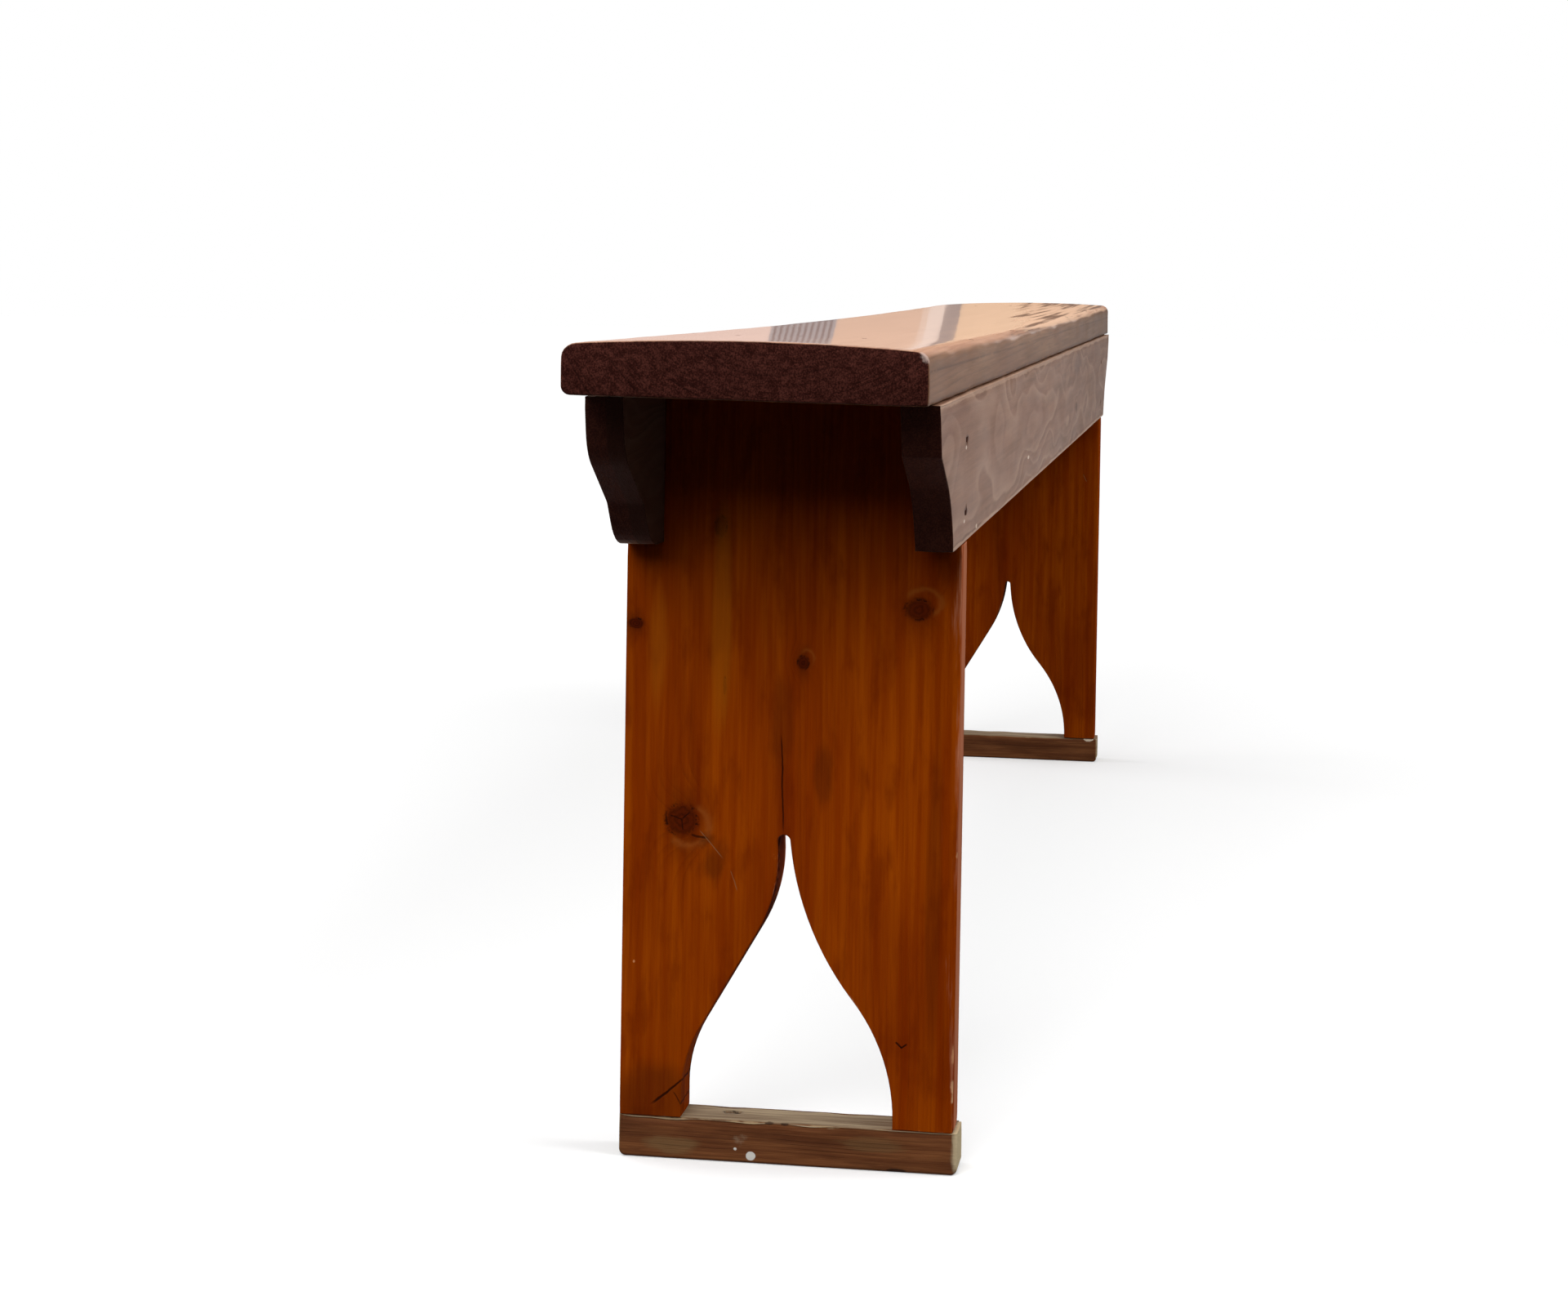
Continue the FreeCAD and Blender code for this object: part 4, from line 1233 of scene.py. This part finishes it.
FRONT_APRON_MARKS = [
    # Darker towards the far end of the outer face.
    stain_and_shade_patch((900.0, 0.0), (1250.0, 300.0), colour(92, 60, 40), 0.45, 0.3, -1.0, 0.9),
    stain_and_shade_patch((312.0, 26.0), (60.0, 14.0), colour(84, 54, 42), 0.6, 0.8),
    stain_and_shade_patch((-656.0, -38.0), (5.0, 1.5), colour(216, 196, 178), 0.9, 0.6, 0.0, 0.3),
    stain_and_shade_patch((-260.0, -22.0), (8.0, 1.5), colour(216, 196, 178), 0.9, 0.6, 0.0, 0.3),
    # A dark patch round each nail head, partly the nail's dark iron and partly its painted shadow.
    stain_and_shade_patch((-722.0, 16.5), (12.0, 2.8), colour(66, 38, 30), 0.75, 0.8),
    stain_and_shade_patch((-722.0, -24.5), (12.0, 2.8), colour(66, 38, 30), 0.75, 0.8),
    stain_and_shade_patch((-726.0, 11.8), (4.5, 1.3), colour(222, 204, 188), 0.8, 0.5, 0.0, 0.4),
    stain_and_shade_patch((-731.0, -29.2), (4.5, 1.3), colour(222, 204, 188), 0.8, 0.5, 0.0, 0.4),
    edge_wear_and_sheen(-41.5, -10.5, 3.2, colour(196, 160, 136), 0.6, 31.0),
    edge_wear_and_sheen(41.5, -10.5, 3.2, colour(196, 160, 136), 0.5, 57.0),
]

# %% Wood of the seat
# The seat's sides and ends have the aprons' dark stain. Only its top is lighter.
SEAT_WOOD = {
    **APRON_WOOD,
    "heart": (-20.0, 80.0), "ring": 2.9, "taper": 0.008, "sway": 10.0,
    "late_power": 2.2, "late_stop": 0.8, "uneven": 5.0,
    "sway_length": (420.0, 60.0, 60.0), "end_from": 0.5,
    "early_dark": colour(116, 80, 54), "early_light": colour(140, 102, 74),
    "late": colour(82, 54, 36), "late_strength": 0.65,
    "cloud_length": (330.0, 50.0, 50.0),
    "blotch": 0.5, "blotch_length": (90.0, 5.0, 5.0), "blotch_tint": colour(98, 68, 44),
    "end_dark": colour(44, 17, 13), "end_light": colour(84, 44, 37),
    "end_ring": colour(22, 6, 5), "end_late": 0.9,
    "raw_dark": colour(158, 116, 90), "raw_light": colour(196, 156, 128),
    "rub": 0.5, "roughness": 0.5, "specular": 0.015, "bump": 0.4,
    "coat_above": 0.9, "coat_aside": 0.05, "coat_roughness": 0.1,
}
FRONT_TOP_EDGE = (-92.5, 15.0)
SEAT_MARKS = [
    # Darker towards the far end, along the front of the seat.
    stain_and_shade_patch((1000.0, -95.0), (1300.0, 60.0), colour(84, 56, 34), 0.5, 0.3, 0.0, 0.9),
    upper_face(colour(160, 116, 92), colour(186, 142, 116), colour(128, 86, 62), 0.5),
    bare_corner((-300.0, -90.0), (900.0, 4.0), colour(220, 180, 150), colour(112, 84, 66)),
    line_below(-95.0, 0.20, 0.12, colour(74, 48, 34), 0.8),
    # Painted shadow: a dark line along the seat's lower front edge, in the gap above the front apron.
    line_below(-95.0, 0.95, 0.22, colour(52, 32, 22), 0.7, -1.0),
    edge_wear_and_sheen(*FRONT_TOP_EDGE, 5.0, colour(184, 138, 112), 0.9, 7.0),
    wear_and_painted_light_spot((-897.0, -93.5, 10.0), (5.0, 5.0, 5.0), colour(190, 166, 156), 0.7),
]

# %% Wood of the feet
FOOT_WOOD = {
    **LEG_WOOD,
    "heart": (60.0, 20.0), "ring": 2.2, "taper": 0.01, "sway": 8.0, "uneven": 4.0,
    "sway_length": (120.0, 30.0, 30.0), "streak_length": (60.0, 2.6, 2.6),
    "early_dark": colour(98, 54, 28), "early_light": colour(130, 80, 46),
    "late": colour(66, 31, 14), "late_strength": 0.6, "fibre": 0.4,
    "blotch": 0.45, "blotch_length": (26.0, 4.0, 6.0), "blotch_tint": colour(72, 36, 17),
    "figure_length": (60.0, 16.0, 16.0),
    "cloud": 0.6, "cloud_length": (50.0, 10.0, 20.0), "cloud_tint": colour(80, 42, 20),
    "raw_dark": colour(150, 122, 88), "raw_light": colour(192, 168, 132),
    "end_dark": colour(140, 112, 80), "end_light": colour(196, 174, 138),
    "end_ring": colour(110, 84, 56), "end_late": 0.4,
    "rub": 0.75, "rub_from": 0.95, "rub_length": (16.0, 5.0, 5.0),
    "roughness": 0.66, "specular": 0.1, "bump": 0.8, "coat_above": 0.0, "coat_aside": 0.0,
}
PAINT_WHITE = colour(236, 232, 224)
FOOT_TOP = upper_face(colour(116, 94, 72), colour(168, 148, 120), colour(96, 72, 50), 0.5)
LEFT_FOOT_MARKS = [
    FOOT_TOP,
    stain_and_shade_patch((66.0, -4.0), (20.0, 6.0), colour(134, 104, 68), 0.5, 1.0, -1.0),
    stain_and_shade_patch((-50.0, 3.0), (26.0, 5.0), colour(122, 92, 58), 0.4, 1.2, -1.0),
    stain_and_shade_patch((27.5, 1.0), (5.0, 5.0), colour(160, 136, 112), 0.45, 2.2, -1.0, 0.9),
    stain_and_shade_patch((20.3, -7.6), (2.9, 2.7), PAINT_WHITE, 0.95, 0.25, -1.0, 0.15),
    stain_and_shade_patch((29.2, -4.1), (1.1, 0.9), PAINT_WHITE, 0.95, 0.3, -1.0, 0.3),
    stain_and_shade_patch((-62.3, -11.0), (6.0, 1.6), colour(40, 20, 10), 0.9, 0.8, 0.0, 0.3),
    wear_and_painted_light_spot((10.0, 12.0, -14.0), (3.6, 2.2, 3.4), colour(48, 28, 16), 0.8),
    wear_and_painted_light_spot((1.0, 12.0, -14.0), (3.0, 2.0, 2.8), colour(48, 28, 16), 0.8),
    stain_and_shade_patch((-97.0, 2.0), (4.6, 18.0), colour(206, 188, 152), 0.8, 0.8, 0.0, 0.4),
    # Painted shade: the inside of the hole in the foot is darkened almost to black.
    wear_and_painted_light_spot((33.4, 4.0, 3.1), (9.0, 9.5, 7.0), colour(14, 7, 4), 1.0),
    wear_and_painted_light_spot((33.4, 12.0, 3.1), (6.4, 3.0, 3.8), colour(14, 7, 4), 1.0),
]
RIGHT_FOOT_MARKS = [
    FOOT_TOP,
    stain_and_shade_patch((-88.0, 11.0), (5.0, 2.5), colour(224, 206, 182), 0.95, 0.8, -1.0, 0.3),
]

# %% Giving the boards their wood
def with_marks(wood, knots=(), marks=(), **changes):
    return {**wood, **changes, "knots": list(knots), "marks": list(marks)}


def middle_of(node):
    low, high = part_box(node)
    return (low + high) / 2


def leg_middle(node):
    """The middle of a leg board, at the height that the knots' places are counted from."""
    centre = middle_of(node)
    return (centre.x, 0.0, LEG_CENTRE_HEIGHT * MM)


MATERIALS = {
    "seat_board": ("seat_wood", GRAIN_ALONG_X_FLAT, middle_of("seat_board"),
                   with_marks(SEAT_WOOD, marks=SEAT_MARKS)),
    "left_leg_board": ("left_leg_wood", GRAIN_ALONG_Z, leg_middle("left_leg_board"),
                       with_marks(LEG_WOOD, LEFT_KNOTS, LEFT_MARKS)),
    "right_leg_board": ("right_leg_wood", GRAIN_ALONG_Z, leg_middle("right_leg_board"),
                        with_marks(LEG_WOOD, RIGHT_KNOTS, RIGHT_MARKS, heart=(40.0, 70.0),
                                   ring=3.4)),
    "front_apron": ("front_apron_wood", GRAIN_ALONG_X_UPRIGHT, middle_of("front_apron"),
                    with_marks(APRON_WOOD, FRONT_APRON_KNOTS, FRONT_APRON_MARKS)),
    "back_apron": ("back_apron_wood", GRAIN_ALONG_X_UPRIGHT, middle_of("back_apron"),
                   with_marks(APRON_WOOD, marks=BACK_APRON_PAINTED_SHADE, heart=(-10.0, -66.0), ring=4.4)),
    "left_foot": ("left_foot_wood", GRAIN_ALONG_Y, middle_of("left_foot"),
                  with_marks(FOOT_WOOD, marks=LEFT_FOOT_MARKS)),
    "right_foot": ("right_foot_wood", GRAIN_ALONG_Y, middle_of("right_foot"),
                   with_marks(FOOT_WOOD, marks=RIGHT_FOOT_MARKS, heart=(-50.0, 30.0))),
}
for node, (name, directions, centre, wood) in MATERIALS.items():
    board = boards[node]
    board.data.materials.clear()
    board.data.materials.append(pine(name, directions, centre, wood))
    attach(board, "root")
    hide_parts(node)
    print(node, "has", len(board.data.materials[0].node_tree.nodes), "nodes of shader")

# %% [markdown]
# ## The nails
# Cut nails were stamped from iron plate, so they are flat and tapered. Only their heads show, in
# their holes. The frame's own nails have that shape, so they stay, with a dark iron that is
# rusty in patches.

# %% Iron
def old_iron():
    graph = Graph("old_iron")
    place = graph.vector("SCALE", graph.add("ShaderNodeTexCoord", output="Object"))
    place.socket.node.inputs["Scale"].default_value = 1000.0
    patch = graph.noise(place, (1.6, 1.6, 1.6), detail=3.0, roughness=0.65)
    pits = graph.noise(place, (0.35, 0.35, 0.35), detail=2.0)
    rust = graph.ramp(patch, 0.42, 0.62)
    tint = graph.mix(rust, colour(46, 42, 40), colour(104, 56, 32))
    tint = graph.mix(graph.ramp(pits, 0.55, 0.7) * 0.6, tint, colour(26, 20, 18))
    bump = graph.add("ShaderNodeBump", None,
                     {"Strength": 0.5, "Distance": 0.0002, "Height": pits}, "Normal")
    shader = graph.add("ShaderNodeBsdfPrincipled", None, {
        "Base Color": tint, "Metallic": 0.75 - rust * 0.7, "Roughness": 0.5 + rust * 0.35,
        "Normal": bump}, "BSDF")
    return graph.finish(shader)


iron = old_iron()
nail_nodes = [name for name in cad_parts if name.endswith("_nails")]
for name in nail_nodes:
    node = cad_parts[name]
    node.data.materials.clear()
    node.data.materials.append(iron)
print(len(nail_nodes), "rows of nails are iron")

# %% [markdown]
# ## Finish
# The box round everything visible is written beside the frame's, so that the two can be
# compared: the wear takes off at most a fraction of a millimetre overall.

# %% Sizes and the end
visual_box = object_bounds()
for label, corners in (("cad", cad_box), ("visual", visual_box)):
    print(label, [[round(value * 1000, 2) for value in corner] for corner in corners])
